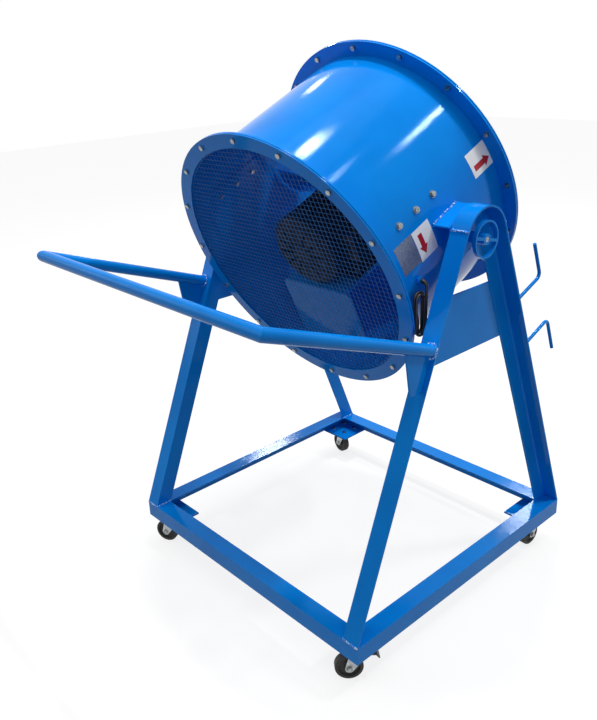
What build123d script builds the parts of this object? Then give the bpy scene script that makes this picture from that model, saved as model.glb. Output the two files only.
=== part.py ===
"""Mobile drum fan: a tube-axial fan that tilts in an angle-iron stand on four swivel casters.

+X is on the right of whoever pushes the handle, +Y points to the outlet end, +Z is up.
The origin is on the floor, midway between the four casters. Millimetres and degrees.
"""

import os
from math import asin, atan2, cos, degrees, hypot, radians, sin, sqrt, tan

from build123d import *

os.makedirs("parts", exist_ok=True)

# Stand, of rolled equal angle
BASE_DEPTH = 925.0
ANGLE_LEG = 50.0
ANGLE_WALL = 5.0
ANGLE_ROOT_RADIUS = 6.0
ANGLE_TOE_RADIUS = 2.5
PIVOT_HEIGHT = 1077.0
HEAD_RADIUS = 82.0
STAND_PLATE = 5.0
SIDE_FLANGE_ABOVE_PIVOT = 13.0
HEAD_PLATE_APEX = 25.0
HEAD_PLATE_DROP = 75.0
SIDE_GUSSET_TOP = 133.0
SIDE_GUSSET_HEIGHT = 164.0
CORNER_PLATE = 110.0

# Push handle, a bent-up frame of round tube
TUBE = 32.0
TUBE_WALL = 2.0
HANDLE_BELOW_PIVOT = 234.0
HANDLE_REACH = 514.0
HANDLE_RISE = 20.0
HANDLE_GUSSET_REACH = 95.0
HANDLE_GUSSET_DEPTH = 76.0
HANDLE_GUSSET_TOE = 40.0

# Cable hooks of bent rod, on the rear right leg
HOOK_ROD = 9.5
HOOK_BEND = 16.0
HOOK_STANDOFF = 104.0
HOOK_PRONG = 102.0
HOOK_FROM_EDGE = 5.5
UPPER_HOOK_BELOW_PIVOT = 189.0
LOWER_HOOK_BELOW_PIVOT = 326.0

# Casters
CASTER_HEIGHT = 100.0
CASTER_INSET = 51.0
CASTER_PLATE = 75.0
CASTER_PLATE_THICKNESS = 4.0
CASTER_BOLT_SPACING = 54.0
CASTER_BOLT = 8.0
RACE_RADIUS = 24.0
RACE_DEPTH = 9.0
RACE_TAPER = 10.0
CROWN_RADIUS = 25.0
KINGPIN = 10.0
RIVET_HEAD = 4.0
RIVET_HEAD_RADIUS = 6.5
RIVET_TAPER = 20.0
FORK_PLATE = 3.0
CHEEK_TOP_WIDTH = 38.0
CHEEK_END_RADIUS = 11.5
WHEEL_RADIUS = 37.5
WHEEL_WIDTH = 22.0
WHEEL_TRAIL = 20.0
WHEEL_HUB_WALL = 6.0
TREAD_DEPTH = 9.0
WEB_SLOPE = 2.0
SHOULDER_RADIUS = 4.0
AXLE = 8.0
CASTER_HEADINGS = {"front_right": -129, "front_left": -153, "rear_left": 169, "rear_right": -93}
BRAKED_CASTERS = ("front_right", "front_left")
PEDAL_REACH = 44.0
PEDAL_THICKNESS = 5.5
PEDAL_TOE_DROP = 10.0
PEDAL_TOE = 8.0
PEDAL_PIN_RADIUS = 3.0
PEDAL_PIN_BACK = 15.0
PEDAL_PIN_DROP = 9.5
EAR_RADIUS = 7.0

# Drum, tilted about the pivot
TILT = 24.5
SHELL_RADIUS = 360.0
SHELL_WALL = 3.0
SHELL_LENGTH = 464.0
DRUM_SHIFT = 7.0
FLANGE_WIDTH = 40.0
FLANGE_THICKNESS = 5.0
FLANGE_BOLT_FROM_SHELL = 22.5
FLANGE_BOLTS = 16
FLANGE_BOLT = 8.0
GUARD_THICKNESS = 3.0
MESH_THICKNESS = 2.0
MESH_PITCH = 70.0
MESH_BAR = 5.0

# Trunnions and their clamping rings
BRACKET_LENGTH = 100.0
BRACKET_HEIGHT = 60.0
BRACKET_DROP = 40.0
BRACKET_PLATE = 5.0
PIVOT_BOLT = 12.0
SPACER_RADIUS = 13.0
RING_OUTER = 94.0
RING_WALL = 5.0
RING_DEPTH = 10.0
RING_BAR = 8.0
RING_BAR_ANGLE = -13.0
CLAMP_NUT = 28.0

# Motor, on a cradle inside the drum
SHAFT_HEIGHT = 112.0
MOTOR_FRONT = 187.0
MOTOR_LENGTH = 257.0
MOTOR_RADIUS = 108.0
FIN_DEPTH = 13.0
FIN_COUNT = 28
FIN_THICKNESS = 3.0
END_SHIELD = 14.0
COWL_LENGTH = 52.0
COWL_LAP = 12.0
COWL_WALL = 2.0
COWL_BEVEL = 20.0
COWL_BEVEL_LENGTH = 16.0
COWL_SLOTS = 12
FOOT_SPACING = 190.0
FOOT_BOLT_SPAN = 140.0
FOOT_LENGTH = 170.0
FOOT_THICKNESS = 13.0
FOOT_AXIAL = -35.0
FOOT_BOLT = 10.0
TERMINAL_BOX = 84.0
TERMINAL_BOX_DEPTH = 44.0
TERMINAL_BOX_AXIAL = -92.0
TERMINAL_BOX_LID = 4.0
TERMINAL_BOX_CORNER = 10.0
LID_OVERHANG = 2.0
SHAFT_RADIUS = 14.0
SHAFT_SEAT = 30.0
CRADLE_PLATE = 4.0
CRADLE_WEB = 6.0
CRADLE_WIDTH = 260.0
CRADLE_LENGTH = 240.0
CRADLE_CORNER = 14.0
CRADLE_BOLT = 8.0
CRADLE_WASHER = 18.0
CRADLE_BOLT_PITCH = 67.0
CRADLE_BOLT_ANGLES = (19.0, 161.0)
CRADLE_EDGE = 6.0

# Impeller
BLADE_COUNT = 8
HUB_RADIUS = 105.0
HUB_LENGTH = 64.0
HUB_GAP = 18.0
TIP_CLEARANCE = 7.0
BLADE_THICKNESS = 4.0
BLADE_CHORD_ROOT = 96.0
BLADE_CHORD_TIP = 128.0
BLADE_ANGLE_ROOT = 46.0
BLADE_ANGLE_TIP = 24.0
BLADE_CAMBER = 0.09
HUB_BOSS = 32.0
HUB_WALL = 8.0

# Cable
CABLE = 6.8
CABLE_GAP = 0.6
HANK_RUN = 70.0
HANK_OUTER_FOLD = 19.0
HANK_TOP_BELOW_PIVOT = 99.5
CABLE_OUT = 15.0
GLAND_THREAD = 13.0
GLAND_RADIUS = 10.0
GLAND_HEIGHT = 10.0
GLAND_NUT = 5.0
GLAND_TAPER = 15.0
GLAND_ANGLE = -4.8
GLAND_AXIAL = -151.0

# Hex bolts, as shares of the bolt's diameter
ACROSS_FLATS = 1.6
HEAD_HEIGHT = 0.65
NUT_HEIGHT = 0.8

# Clearances
RUNNING = 0.05
BOLT_CLEARANCE = 0.4
TURNING_GAP = 0.3
SEAT_GAP = 0.2
FLANGE_TO_LEG = 12.5
BRACKET_TO_LEG = 7.5
CHEEK_CLEARANCE = 2.0
HUB_CLEARANCE = 1.0
GUARD_CLEARANCE = 1.0
MESH_CLEARANCE = 2.0


def write(piece, name):
    """Labels a finished piece and saves it under the same name."""
    piece.label = name
    export_step(piece, f"parts/{name}.step")


def write_pair(piece, name):
    """Saves a right-hand piece and its mirror image on the left."""
    write(piece, f"{name}_right")
    write(mirror(piece, about=Plane.YZ), f"{name}_left")


def write_both(piece, name):
    """Saves a right-hand piece together with its mirror image as two solids under one name."""
    write(Compound(children=[piece, mirror(piece, about=Plane.YZ)]), name)


# ---------------------------------------------------------------- base frame
# The drum's flanges turn between the legs, so the drum sets the width of the stand.
FLANGE_RADIUS = SHELL_RADIUS + FLANGE_WIDTH
LEG_INNER_X = FLANGE_RADIUS + FLANGE_TO_LEG
BASE_WIDTH = 2 * (LEG_INNER_X + ANGLE_LEG)
RAIL_TOP = CASTER_HEIGHT + ANGLE_LEG
PIVOT = Vector(0, 0, PIVOT_HEIGHT)


def angle_section(plane):
    """Rolled equal angle, its heel on the plane's origin and its legs along local X and Y."""
    with BuildSketch(plane) as section:
        with BuildLine():
            Polyline(
                (0, 0),
                (ANGLE_LEG, 0),
                (ANGLE_LEG, ANGLE_WALL),
                (ANGLE_WALL, ANGLE_WALL),
                (ANGLE_WALL, ANGLE_LEG),
                (0, ANGLE_LEG),
                close=True,
            )
        make_face()
        fillet(section.vertices().sort_by_distance((ANGLE_WALL, ANGLE_WALL))[0], ANGLE_ROOT_RADIUS)
        for toe in ((ANGLE_LEG, ANGLE_WALL), (ANGLE_WALL, ANGLE_LEG)):
            fillet(section.vertices().sort_by_distance(toe)[0], ANGLE_TOE_RADIUS)
    return section.sketch


# Four rails, mitred at the corners, one flange on top and pointing inwards.
RAILS = (
    ("front_rail", 0, BASE_WIDTH, BASE_DEPTH),
    ("right_rail", 90, BASE_DEPTH, BASE_WIDTH),
    ("rear_rail", 180, BASE_WIDTH, BASE_DEPTH),
    ("left_rail", 270, BASE_DEPTH, BASE_WIDTH),
)
for name, heading, length, across_base in RAILS:
    along = Vector(1, 0, 0).rotate(Axis.Z, heading)
    inward = Vector(0, 1, 0).rotate(Axis.Z, heading)
    middle = inward * (-across_base / 2) + Vector(0, 0, RAIL_TOP)
    with BuildPart() as rail:
        start = Plane(middle + along * (length / 2), x_dir=inward, z_dir=-along)
        extrude(angle_section(start), amount=length)
        for end in (-1, 1):
            mitre = Plane(middle + along * (end * length / 2), z_dir=along * -end - inward)
            split(bisect_by=mitre, keep=Keep.TOP)
    rail.part.label = name
    export_step(rail.part, f"parts/{name}.step")

# Square plates welded inside the corners, drilled for the casters.
SWIVEL_X = BASE_WIDTH / 2 - CASTER_INSET
SWIVEL_Y = BASE_DEPTH / 2 - CASTER_INSET
CORNER_X = BASE_WIDTH / 2 - ANGLE_WALL - CORNER_PLATE / 2
CORNER_Y = BASE_DEPTH / 2 - ANGLE_WALL - CORNER_PLATE / 2
with BuildPart() as corner_plates:
    with BuildSketch(Plane.XY.offset(CASTER_HEIGHT)):
        with GridLocations(2 * CORNER_X, 2 * CORNER_Y, 2, 2):
            Rectangle(CORNER_PLATE, CORNER_PLATE)
        with GridLocations(2 * SWIVEL_X, 2 * SWIVEL_Y, 2, 2):
            with GridLocations(CASTER_BOLT_SPACING, CASTER_BOLT_SPACING, 2, 2):
                Circle(CASTER_BOLT / 2 + BOLT_CLEARANCE, mode=Mode.SUBTRACT)
    extrude(amount=STAND_PLATE)
corner_plates.part.label = "corner_plates"
export_step(corner_plates.part, "parts/corner_plates.step")

# ---------------------------------------------------------------- A-frames
LEG_RISE = PIVOT_HEIGHT - RAIL_TOP
FOOT_TO_PIVOT = hypot(BASE_DEPTH / 2, LEG_RISE)
# The legs run from the base's edge to a tangent of the head strap, LEAN from vertical.
LEAN = degrees(atan2(BASE_DEPTH / 2, LEG_RISE) - asin(HEAD_RADIUS / FOOT_TO_PIVOT))
LEG_LENGTH = sqrt(FOOT_TO_PIVOT**2 - HEAD_RADIUS**2)
LEG_OUT = Vector(0, -cos(radians(LEAN)), sin(radians(LEAN)))
LEG_UP = Vector(0, sin(radians(LEAN)), cos(radians(LEAN)))
SIDE_FLANGE_TOP = PIVOT_HEIGHT + SIDE_FLANGE_ABOVE_PIVOT


def leg_y(z, depth=0.0):
    """How far a leg's plane, depth inside its outer face, is from the pivot plane at height z."""
    return (HEAD_RADIUS - depth - (z - PIVOT_HEIGHT) * sin(radians(LEAN))) / cos(radians(LEAN))


# Leg, front right: heel at the outer face's inner edge, outer flange along the base's edge.
with BuildPart() as front_right_leg:
    heel = PIVOT + Vector(LEG_INNER_X, 0, 0) + LEG_OUT * HEAD_RADIUS
    extrude(angle_section(Plane(heel, x_dir=(1, 0, 0), z_dir=LEG_UP)), amount=-LEG_LENGTH - ANGLE_LEG)
    split(bisect_by=Plane.XY.offset(RAIL_TOP), keep=Keep.TOP)
    with BuildSketch(Plane.YZ.offset(LEG_INNER_X)):
        crown = PIVOT_HEIGHT + HEAD_RADIUS
        with BuildLine():
            Polyline(
                (-leg_y(SIDE_FLANGE_TOP, ANGLE_WALL), SIDE_FLANGE_TOP),
                (-leg_y(crown, ANGLE_WALL), crown),
                (HEAD_RADIUS, crown),
                (HEAD_RADIUS, SIDE_FLANGE_TOP),
                close=True,
            )
        make_face()
    extrude(amount=ANGLE_LEG, mode=Mode.SUBTRACT)
write_pair(front_right_leg.part, "leg_front")
write_pair(mirror(front_right_leg.part, about=Plane.XZ), "leg_rear")

# Head strap: flat bar rolled over the top of each A-frame, butt-welded to both legs.
with BuildPart() as head_strap:
    with BuildSketch(Plane.YZ.offset(LEG_INNER_X)):
        with BuildLine():
            outer = CenterArc((0, PIVOT_HEIGHT), HEAD_RADIUS, LEAN, 180 - 2 * LEAN)
            inner = CenterArc((0, PIVOT_HEIGHT), HEAD_RADIUS - ANGLE_WALL, LEAN, 180 - 2 * LEAN)
            Line(outer @ 0, inner @ 0)
            Line(outer @ 1, inner @ 1)
        make_face()
    extrude(amount=ANGLE_LEG)
write_both(head_strap.part, "head_straps")

# Head plate: fills the A-frame under the strap and carries the pivot.
PIVOT_HOLE = PIVOT_BOLT / 2 + RUNNING
HEAD_PLATE_BOTTOM = PIVOT_HEIGHT - HEAD_PLATE_DROP
with BuildPart() as head_plate:
    with BuildSketch(Plane.YZ.offset(LEG_INNER_X)):
        with BuildLine():
            arch = CenterArc((0, PIVOT_HEIGHT), HEAD_RADIUS - ANGLE_WALL, LEAN, 180 - 2 * LEAN)
            Polyline(
                arch @ 0,
                (leg_y(SIDE_FLANGE_TOP, ANGLE_WALL), SIDE_FLANGE_TOP),
                (leg_y(SIDE_FLANGE_TOP, ANGLE_LEG), SIDE_FLANGE_TOP),
                (leg_y(HEAD_PLATE_BOTTOM, ANGLE_LEG), HEAD_PLATE_BOTTOM),
                (0, PIVOT_HEIGHT - HEAD_PLATE_APEX),
                (-leg_y(HEAD_PLATE_BOTTOM, ANGLE_LEG), HEAD_PLATE_BOTTOM),
                (-leg_y(SIDE_FLANGE_TOP, ANGLE_LEG), SIDE_FLANGE_TOP),
                (-leg_y(SIDE_FLANGE_TOP, ANGLE_WALL), SIDE_FLANGE_TOP),
                arch @ 1,
            )
        make_face()
        with Locations((0, PIVOT_HEIGHT)):
            Circle(PIVOT_HOLE, mode=Mode.SUBTRACT)
    extrude(amount=STAND_PLATE)
write_both(head_plate.part, "head_plates")

# Side gusset: a flat plate between the two legs of each A-frame.
gusset_top = PIVOT_HEIGHT - SIDE_GUSSET_TOP
gusset_bottom = gusset_top - SIDE_GUSSET_HEIGHT
with BuildPart() as side_gusset:
    with BuildSketch(Plane.YZ.offset(LEG_INNER_X)):
        with BuildLine():
            Polyline(
                (-leg_y(gusset_top, ANGLE_LEG), gusset_top),
                (leg_y(gusset_top, ANGLE_LEG), gusset_top),
                (leg_y(gusset_bottom, ANGLE_LEG), gusset_bottom),
                (-leg_y(gusset_bottom, ANGLE_LEG), gusset_bottom),
                close=True,
            )
        make_face()
    extrude(amount=STAND_PLATE)
write_both(side_gusset.part, "side_gussets")

# ---------------------------------------------------------------- push handle
ARM_X = BASE_WIDTH / 2 - TUBE / 2
ARM_ROOT_Z = PIVOT_HEIGHT - HANDLE_BELOW_PIVOT
ARM_ROOT_Y = -leg_y(ARM_ROOT_Z)
ARM_OUT = Vector(0, -cos(radians(HANDLE_RISE)), sin(radians(HANDLE_RISE)))
BAR_Y = ARM_ROOT_Y - HANDLE_REACH
BAR_Z = ARM_ROOT_Z + HANDLE_REACH * tan(radians(HANDLE_RISE))
LEG_FACE = Plane(PIVOT + LEG_OUT * HEAD_RADIUS, z_dir=LEG_OUT)
with BuildPart() as push_handle:
    left_root = Vector(-ARM_X, ARM_ROOT_Y, ARM_ROOT_Z) - ARM_OUT * TUBE
    right_root = Vector(ARM_X, ARM_ROOT_Y, ARM_ROOT_Z) - ARM_OUT * TUBE
    with BuildLine() as route:
        Polyline(left_root, (-ARM_X, BAR_Y, BAR_Z), (ARM_X, BAR_Y, BAR_Z), right_root)
    with BuildSketch(Plane(left_root, z_dir=ARM_OUT)):
        Circle(TUBE / 2)
        Circle(TUBE / 2 - TUBE_WALL, mode=Mode.SUBTRACT)
    sweep(path=route.line, transition=Transition.RIGHT)
    # The arms are coped to the slope of the front legs.
    split(bisect_by=LEG_FACE, keep=Keep.TOP)
push_handle.part.label = "push_handle"
export_step(push_handle.part, "parts/push_handle.step")

# Gussets under both arms, against the front legs.
with BuildPart() as handle_gussets:
    corner_z = ARM_ROOT_Z - TUBE / 2 / cos(radians(HANDLE_RISE))
    tip_y = ARM_ROOT_Y - HANDLE_GUSSET_REACH
    tip_z = corner_z + HANDLE_GUSSET_REACH * tan(radians(HANDLE_RISE))
    toe_z = corner_z - HANDLE_GUSSET_DEPTH
    with BuildSketch(Plane.YZ.offset(ARM_X - STAND_PLATE / 2)):
        with BuildLine():
            Polyline(
                (ARM_ROOT_Y, ARM_ROOT_Z),
                (tip_y, tip_z + TUBE / 2),
                (tip_y, tip_z),
                (-leg_y(toe_z) - HANDLE_GUSSET_TOE, toe_z),
                (-leg_y(toe_z), toe_z),
                close=True,
            )
        make_face()
    extrude(amount=STAND_PLATE)
    split(bisect_by=LEG_FACE, keep=Keep.TOP)
    with BuildSketch(Plane(Vector(ARM_X, ARM_ROOT_Y, ARM_ROOT_Z) - ARM_OUT * TUBE, z_dir=ARM_OUT)):
        Circle(TUBE / 2)
    extrude(amount=HANDLE_REACH, mode=Mode.SUBTRACT)
    solid_under_arm = handle_gussets.solids().sort_by(Axis.Z)[0]
    add(solid_under_arm, mode=Mode.REPLACE)
    mirror(about=Plane.YZ)
handle_gussets.part.label = "handle_gussets"
export_step(handle_gussets.part, "parts/handle_gussets.step")

# ---------------------------------------------------------------- cable hooks
HOOK_X = BASE_WIDTH / 2 - HOOK_FROM_EDGE
REAR_OUT = Vector(0, cos(radians(LEAN)), sin(radians(LEAN)))
REAR_UP = Vector(0, -sin(radians(LEAN)), cos(radians(LEAN)))
for name, below, turn in (
    ("upper_cable_hook", UPPER_HOOK_BELOW_PIVOT, 1),
    ("lower_cable_hook", LOWER_HOOK_BELOW_PIVOT, -1),
):
    root_z = PIVOT_HEIGHT - below
    root = Vector(HOOK_X, leg_y(root_z), root_z)
    elbow = root + REAR_OUT * HOOK_STANDOFF
    with BuildPart() as hook:
        with BuildLine() as rod:
            FilletPolyline(root, elbow, elbow + REAR_UP * (turn * HOOK_PRONG), radius=HOOK_BEND)
        with BuildSketch(Plane(root, z_dir=REAR_OUT)):
            Circle(HOOK_ROD / 2)
        sweep(path=rod.line)
    hook.part.label = name
    export_step(hook.part, f"parts/{name}.step")

# ---------------------------------------------------------------- casters
PLATE_UNDERSIDE = CASTER_HEIGHT - CASTER_PLATE_THICKNESS
RACE_UNDERSIDE = PLATE_UNDERSIDE - RACE_DEPTH
CROWN_TOP = RACE_UNDERSIDE - TURNING_GAP
CROWN_UNDERSIDE = CROWN_TOP - FORK_PLATE
RIVET_TOP = CROWN_UNDERSIDE - TURNING_GAP
CHEEK_GAP = WHEEL_WIDTH + 2 * CHEEK_CLEARANCE
CHEEK_OUTER = CHEEK_GAP / 2 + FORK_PLATE
with BuildPart() as caster_plates:
    with BuildSketch(Plane.XY.offset(PLATE_UNDERSIDE)):
        with GridLocations(2 * SWIVEL_X, 2 * SWIVEL_Y, 2, 2):
            RectangleRounded(CASTER_PLATE, CASTER_PLATE, CASTER_BOLT)
            with GridLocations(CASTER_BOLT_SPACING, CASTER_BOLT_SPACING, 2, 2):
                Circle(CASTER_BOLT / 2 + BOLT_CLEARANCE, mode=Mode.SUBTRACT)
    extrude(amount=CASTER_PLATE_THICKNESS)
    # Pressed ball race, kingpin and rivet head.
    for bottom, radius, depth, taper in (
        (RACE_UNDERSIDE, RACE_RADIUS, RACE_DEPTH, -RACE_TAPER),
        (RIVET_TOP, KINGPIN / 2, RACE_UNDERSIDE - RIVET_TOP, 0),
        (RIVET_TOP - RIVET_HEAD, RIVET_HEAD_RADIUS, RIVET_HEAD, -RIVET_TAPER),
    ):
        with BuildSketch(Plane.XY.offset(bottom)):
            with GridLocations(2 * SWIVEL_X, 2 * SWIVEL_Y, 2, 2):
                Circle(radius)
        extrude(amount=depth, taper=taper)
caster_plates.part.label = "caster_plates"
export_step(caster_plates.part, "parts/caster_plates.step")

# Four bolts and nuts hold each caster to its corner plate.
with BuildPart() as caster_plate_bolts:
    for bottom, height in (
        (PLATE_UNDERSIDE - CASTER_BOLT * NUT_HEIGHT, CASTER_BOLT * NUT_HEIGHT),
        (CASTER_HEIGHT + STAND_PLATE, CASTER_BOLT * HEAD_HEIGHT),
    ):
        with BuildSketch(Plane.XY.offset(bottom)):
            with GridLocations(2 * SWIVEL_X, 2 * SWIVEL_Y, 2, 2):
                with GridLocations(CASTER_BOLT_SPACING, CASTER_BOLT_SPACING, 2, 2):
                    RegularPolygon(CASTER_BOLT * ACROSS_FLATS / 2, 6, major_radius=False)
        extrude(amount=height)
    with BuildSketch(Plane.XY.offset(PLATE_UNDERSIDE)):
        with GridLocations(2 * SWIVEL_X, 2 * SWIVEL_Y, 2, 2):
            with GridLocations(CASTER_BOLT_SPACING, CASTER_BOLT_SPACING, 2, 2):
                Circle(CASTER_BOLT / 2)
    extrude(amount=CASTER_PLATE_THICKNESS + STAND_PLATE)
caster_plate_bolts.part.label = "caster_plate_bolts"
export_step(caster_plate_bolts.part, "parts/caster_plate_bolts.step")

PEDAL_PIN = Vector(-PEDAL_PIN_BACK, CROWN_UNDERSIDE - PEDAL_PIN_DROP)
for name, heading in CASTER_HEADINGS.items():
    swivel = Vector(
        SWIVEL_X if name.endswith("right") else -SWIVEL_X,
        SWIVEL_Y if name.startswith("rear") else -SWIVEL_Y,
        0,
    )
    braked = name in BRAKED_CASTERS
    trail = Vector(1, 0, 0).rotate(Axis.Z, heading)
    side = Vector(0, -1, 0).rotate(Axis.Z, heading)
    upright = Plane(swivel, x_dir=trail, z_dir=side)
    axle_centre = (WHEEL_TRAIL, WHEEL_RADIUS)

    # Fork: pressed steel crown with two cheeks that taper to a round end at the axle.
    with BuildPart() as fork:
        for flank in (-1, 1):
            with BuildSketch(upright.offset(flank * (CHEEK_OUTER - FORK_PLATE / 2))):
                with Locations((0, (CROWN_TOP + CROWN_UNDERSIDE) / 2)):
                    Rectangle(CHEEK_TOP_WIDTH, FORK_PLATE)
                with Locations(axle_centre):
                    Circle(CHEEK_END_RADIUS)
                if braked:
                    with Locations(PEDAL_PIN):
                        Circle(EAR_RADIUS)
                make_hull()
                with Locations(axle_centre):
                    Circle(AXLE / 2 + RUNNING, mode=Mode.SUBTRACT)
            extrude(amount=FORK_PLATE / 2, both=True)
        with BuildSketch(Plane(swivel + Vector(0, 0, CROWN_UNDERSIDE))):
            Circle(CROWN_RADIUS)
        extrude(amount=FORK_PLATE)
        with BuildSketch(Plane(swivel + Vector(0, 0, CROWN_UNDERSIDE))):
            Circle(KINGPIN / 2 + RUNNING)
        extrude(amount=FORK_PLATE, mode=Mode.SUBTRACT)
        if braked:
            with BuildSketch(upright):
                with Locations(PEDAL_PIN):
                    Circle(PEDAL_PIN_RADIUS)
            extrude(amount=CHEEK_OUTER, both=True)
    fork.part.label = f"caster_fork_{name}"
    export_step(fork.part, f"parts/caster_fork_{name}.step")

    # Axle: a hex bolt through the cheeks, with its nut.
    with BuildPart() as axle:
        with BuildSketch(upright):
            with Locations(axle_centre):
                Circle(AXLE / 2)
        extrude(amount=CHEEK_OUTER, both=True)
        for flank in (-1, 1):
            with BuildSketch(upright.offset(flank * CHEEK_OUTER)):
                with Locations(axle_centre):
                    RegularPolygon(AXLE * ACROSS_FLATS / 2, 6, major_radius=False)
            extrude(amount=flank * AXLE * HEAD_HEIGHT)
    axle.part.label = f"caster_axle_{name}"
    export_step(axle.part, f"parts/caster_axle_{name}.step")

    # Wheel: plain bore and hub, thin web, and a tread with rounded shoulders.
    wheel_centre = swivel + Vector(0, 0, WHEEL_RADIUS)
    hub_half = CHEEK_GAP / 2 - HUB_CLEARANCE
    tread_half = WHEEL_WIDTH / 2
    web_half = tread_half / 2
    bore = WHEEL_TRAIL + AXLE / 2 + RUNNING
    rim = WHEEL_TRAIL + WHEEL_RADIUS
    with BuildPart() as wheel:
        with BuildSketch(Plane(wheel_centre, x_dir=trail, z_dir=(0, 0, 1))):
            with BuildLine():
                Polyline(
                    (bore, -hub_half),
                    (bore + WHEEL_HUB_WALL, -hub_half),
                    (bore + WHEEL_HUB_WALL + WEB_SLOPE, -web_half),
                    (rim - TREAD_DEPTH - WEB_SLOPE, -web_half),
                    (rim - TREAD_DEPTH, -tread_half),
                    (rim, -tread_half),
                    (rim, tread_half),
                    (rim - TREAD_DEPTH, tread_half),
                    (rim - TREAD_DEPTH - WEB_SLOPE, web_half),
                    (bore + WHEEL_HUB_WALL + WEB_SLOPE, web_half),
                    (bore + WHEEL_HUB_WALL, hub_half),
                    (bore, hub_half),
                    close=True,
                )
            make_face()
        revolve(axis=Axis(wheel_centre + trail * WHEEL_TRAIL, side))
        tread_edges = wheel.edges().filter_by(GeomType.CIRCLE)
        fillet([edge for edge in tread_edges if edge.radius > WHEEL_RADIUS - 1], SHOULDER_RADIUS)
    wheel.part.label = f"caster_wheel_{name}"
    export_step(wheel.part, f"parts/caster_wheel_{name}.step")

    # Brake pedal: hinged between the ears, pressed down at its outer end.
    if braked:
        pin_x, pin_z = PEDAL_PIN.X, PEDAL_PIN.Y
        toe_x, toe_z = pin_x - PEDAL_REACH, pin_z - PEDAL_TOE_DROP
        with BuildPart() as pedal:
            with BuildSketch(upright):
                with Locations(PEDAL_PIN):
                    Circle(PEDAL_THICKNESS)
                with BuildLine():
                    Polyline(
                        (pin_x, pin_z + PEDAL_THICKNESS),
                        (toe_x + PEDAL_TOE, pin_z + PEDAL_THICKNESS / 2),
                        (toe_x, toe_z),
                        (toe_x + PEDAL_THICKNESS / 2, toe_z - PEDAL_THICKNESS / 4),
                        (toe_x + PEDAL_TOE + PEDAL_THICKNESS / 2, pin_z - PEDAL_THICKNESS / 4),
                        (pin_x, pin_z),
                        close=True,
                    )
                make_face()
                with Locations(PEDAL_PIN):
                    Circle(PEDAL_PIN_RADIUS + RUNNING, mode=Mode.SUBTRACT)
            extrude(amount=CHEEK_GAP / 2 - HUB_CLEARANCE, both=True)
        pedal.part.label = f"brake_pedal_{name}"
        export_step(pedal.part, f"parts/brake_pedal_{name}.step")

# ---------------------------------------------------------------- drum
AXIS = Vector(0, cos(radians(TILT)), sin(radians(TILT)))
UP = Vector(0, -sin(radians(TILT)), cos(radians(TILT)))
INLET = -DRUM_SHIFT - SHELL_LENGTH / 2
OUTLET = -DRUM_SHIFT + SHELL_LENGTH / 2
BORE = SHELL_RADIUS - SHELL_WALL
FLANGE_BOLT_CIRCLE = 2 * (SHELL_RADIUS + FLANGE_BOLT_FROM_SHELL)


def at(x, up, axial):
    """A point of the drum: to the right, up square to its axis, and along it to the outlet."""
    return PIVOT + Vector(x, 0, 0) + UP * up + AXIS * axial


def across(axial):
    """The plane square to the drum's axis, seen from the inlet: local X is right, Y is up."""
    return Plane(at(0, 0, axial), x_dir=(1, 0, 0), z_dir=-AXIS)


def beside(x):
    """The plane along the drum's axis at x: local X points to the outlet, Y is up."""
    return Plane(at(x, 0, 0), x_dir=AXIS, z_dir=(1, 0, 0))


def radial(angle):
    """The direction out of the drum's axis, angle above its right-hand side."""
    return Vector(cos(radians(angle)), 0, 0) + UP * sin(radians(angle))


def through_shell(angle, axial, distance):
    """The plane square to a radius of the drum, distance from its axis."""
    out = radial(angle)
    return Plane(at(0, 0, axial) + out * distance, z_dir=out)


# Rolled steel shell, drilled for the cradle's bolts and for the cable gland.
CRADLE_HOLES = [
    (side, -DRUM_SHIFT - CRADLE_BOLT_PITCH * step) for side in CRADLE_BOLT_ANGLES for step in (0, 1, 2)
]
with BuildPart() as drum_shell:
    with BuildSketch(across(INLET)):
        Circle(SHELL_RADIUS)
        Circle(BORE, mode=Mode.SUBTRACT)
    extrude(amount=-SHELL_LENGTH)
    for angle, axial in CRADLE_HOLES:
        with BuildSketch(through_shell(angle, axial, BORE - SHELL_WALL)):
            Circle(CRADLE_BOLT / 2 + BOLT_CLEARANCE)
        extrude(amount=3 * SHELL_WALL, mode=Mode.SUBTRACT)
    with BuildSketch(through_shell(GLAND_ANGLE, GLAND_AXIAL, BORE - SHELL_WALL)):
        Circle(GLAND_THREAD / 2 + BOLT_CLEARANCE)
    extrude(amount=3 * SHELL_WALL, mode=Mode.SUBTRACT)
drum_shell.part.label = "drum_shell"
export_step(drum_shell.part, "parts/drum_shell.step")


def ring_plate(axial, thickness, inner, outer):
    """A drilled ring round the drum, from axial towards the outlet."""
    with BuildPart() as ring:
        with BuildSketch(across(axial)):
            Circle(outer)
            Circle(inner, mode=Mode.SUBTRACT)
            with PolarLocations(FLANGE_BOLT_CIRCLE / 2, FLANGE_BOLTS):
                Circle(FLANGE_BOLT / 2 + BOLT_CLEARANCE, mode=Mode.SUBTRACT)
        extrude(amount=-thickness)
    return ring.part


def mesh_disc(axial, radius):
    """The finger guard as one holed disc, clamped between a flange and its guard ring."""
    reach = int(2 * radius / MESH_PITCH) + 1
    with BuildPart() as mesh:
        with BuildSketch(across(axial)):
            with GridLocations(MESH_PITCH, MESH_PITCH, reach, reach):
                Rectangle(MESH_PITCH - MESH_BAR, MESH_PITCH - MESH_BAR)
            Circle(GUARD_INNER - MESH_BAR, mode=Mode.INTERSECT)
        holes = extrude(amount=-MESH_THICKNESS, mode=Mode.PRIVATE)
        with BuildSketch(across(axial)):
            Circle(radius)
        extrude(amount=-MESH_THICKNESS)
        add(holes, mode=Mode.SUBTRACT)
    return mesh.part


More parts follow.
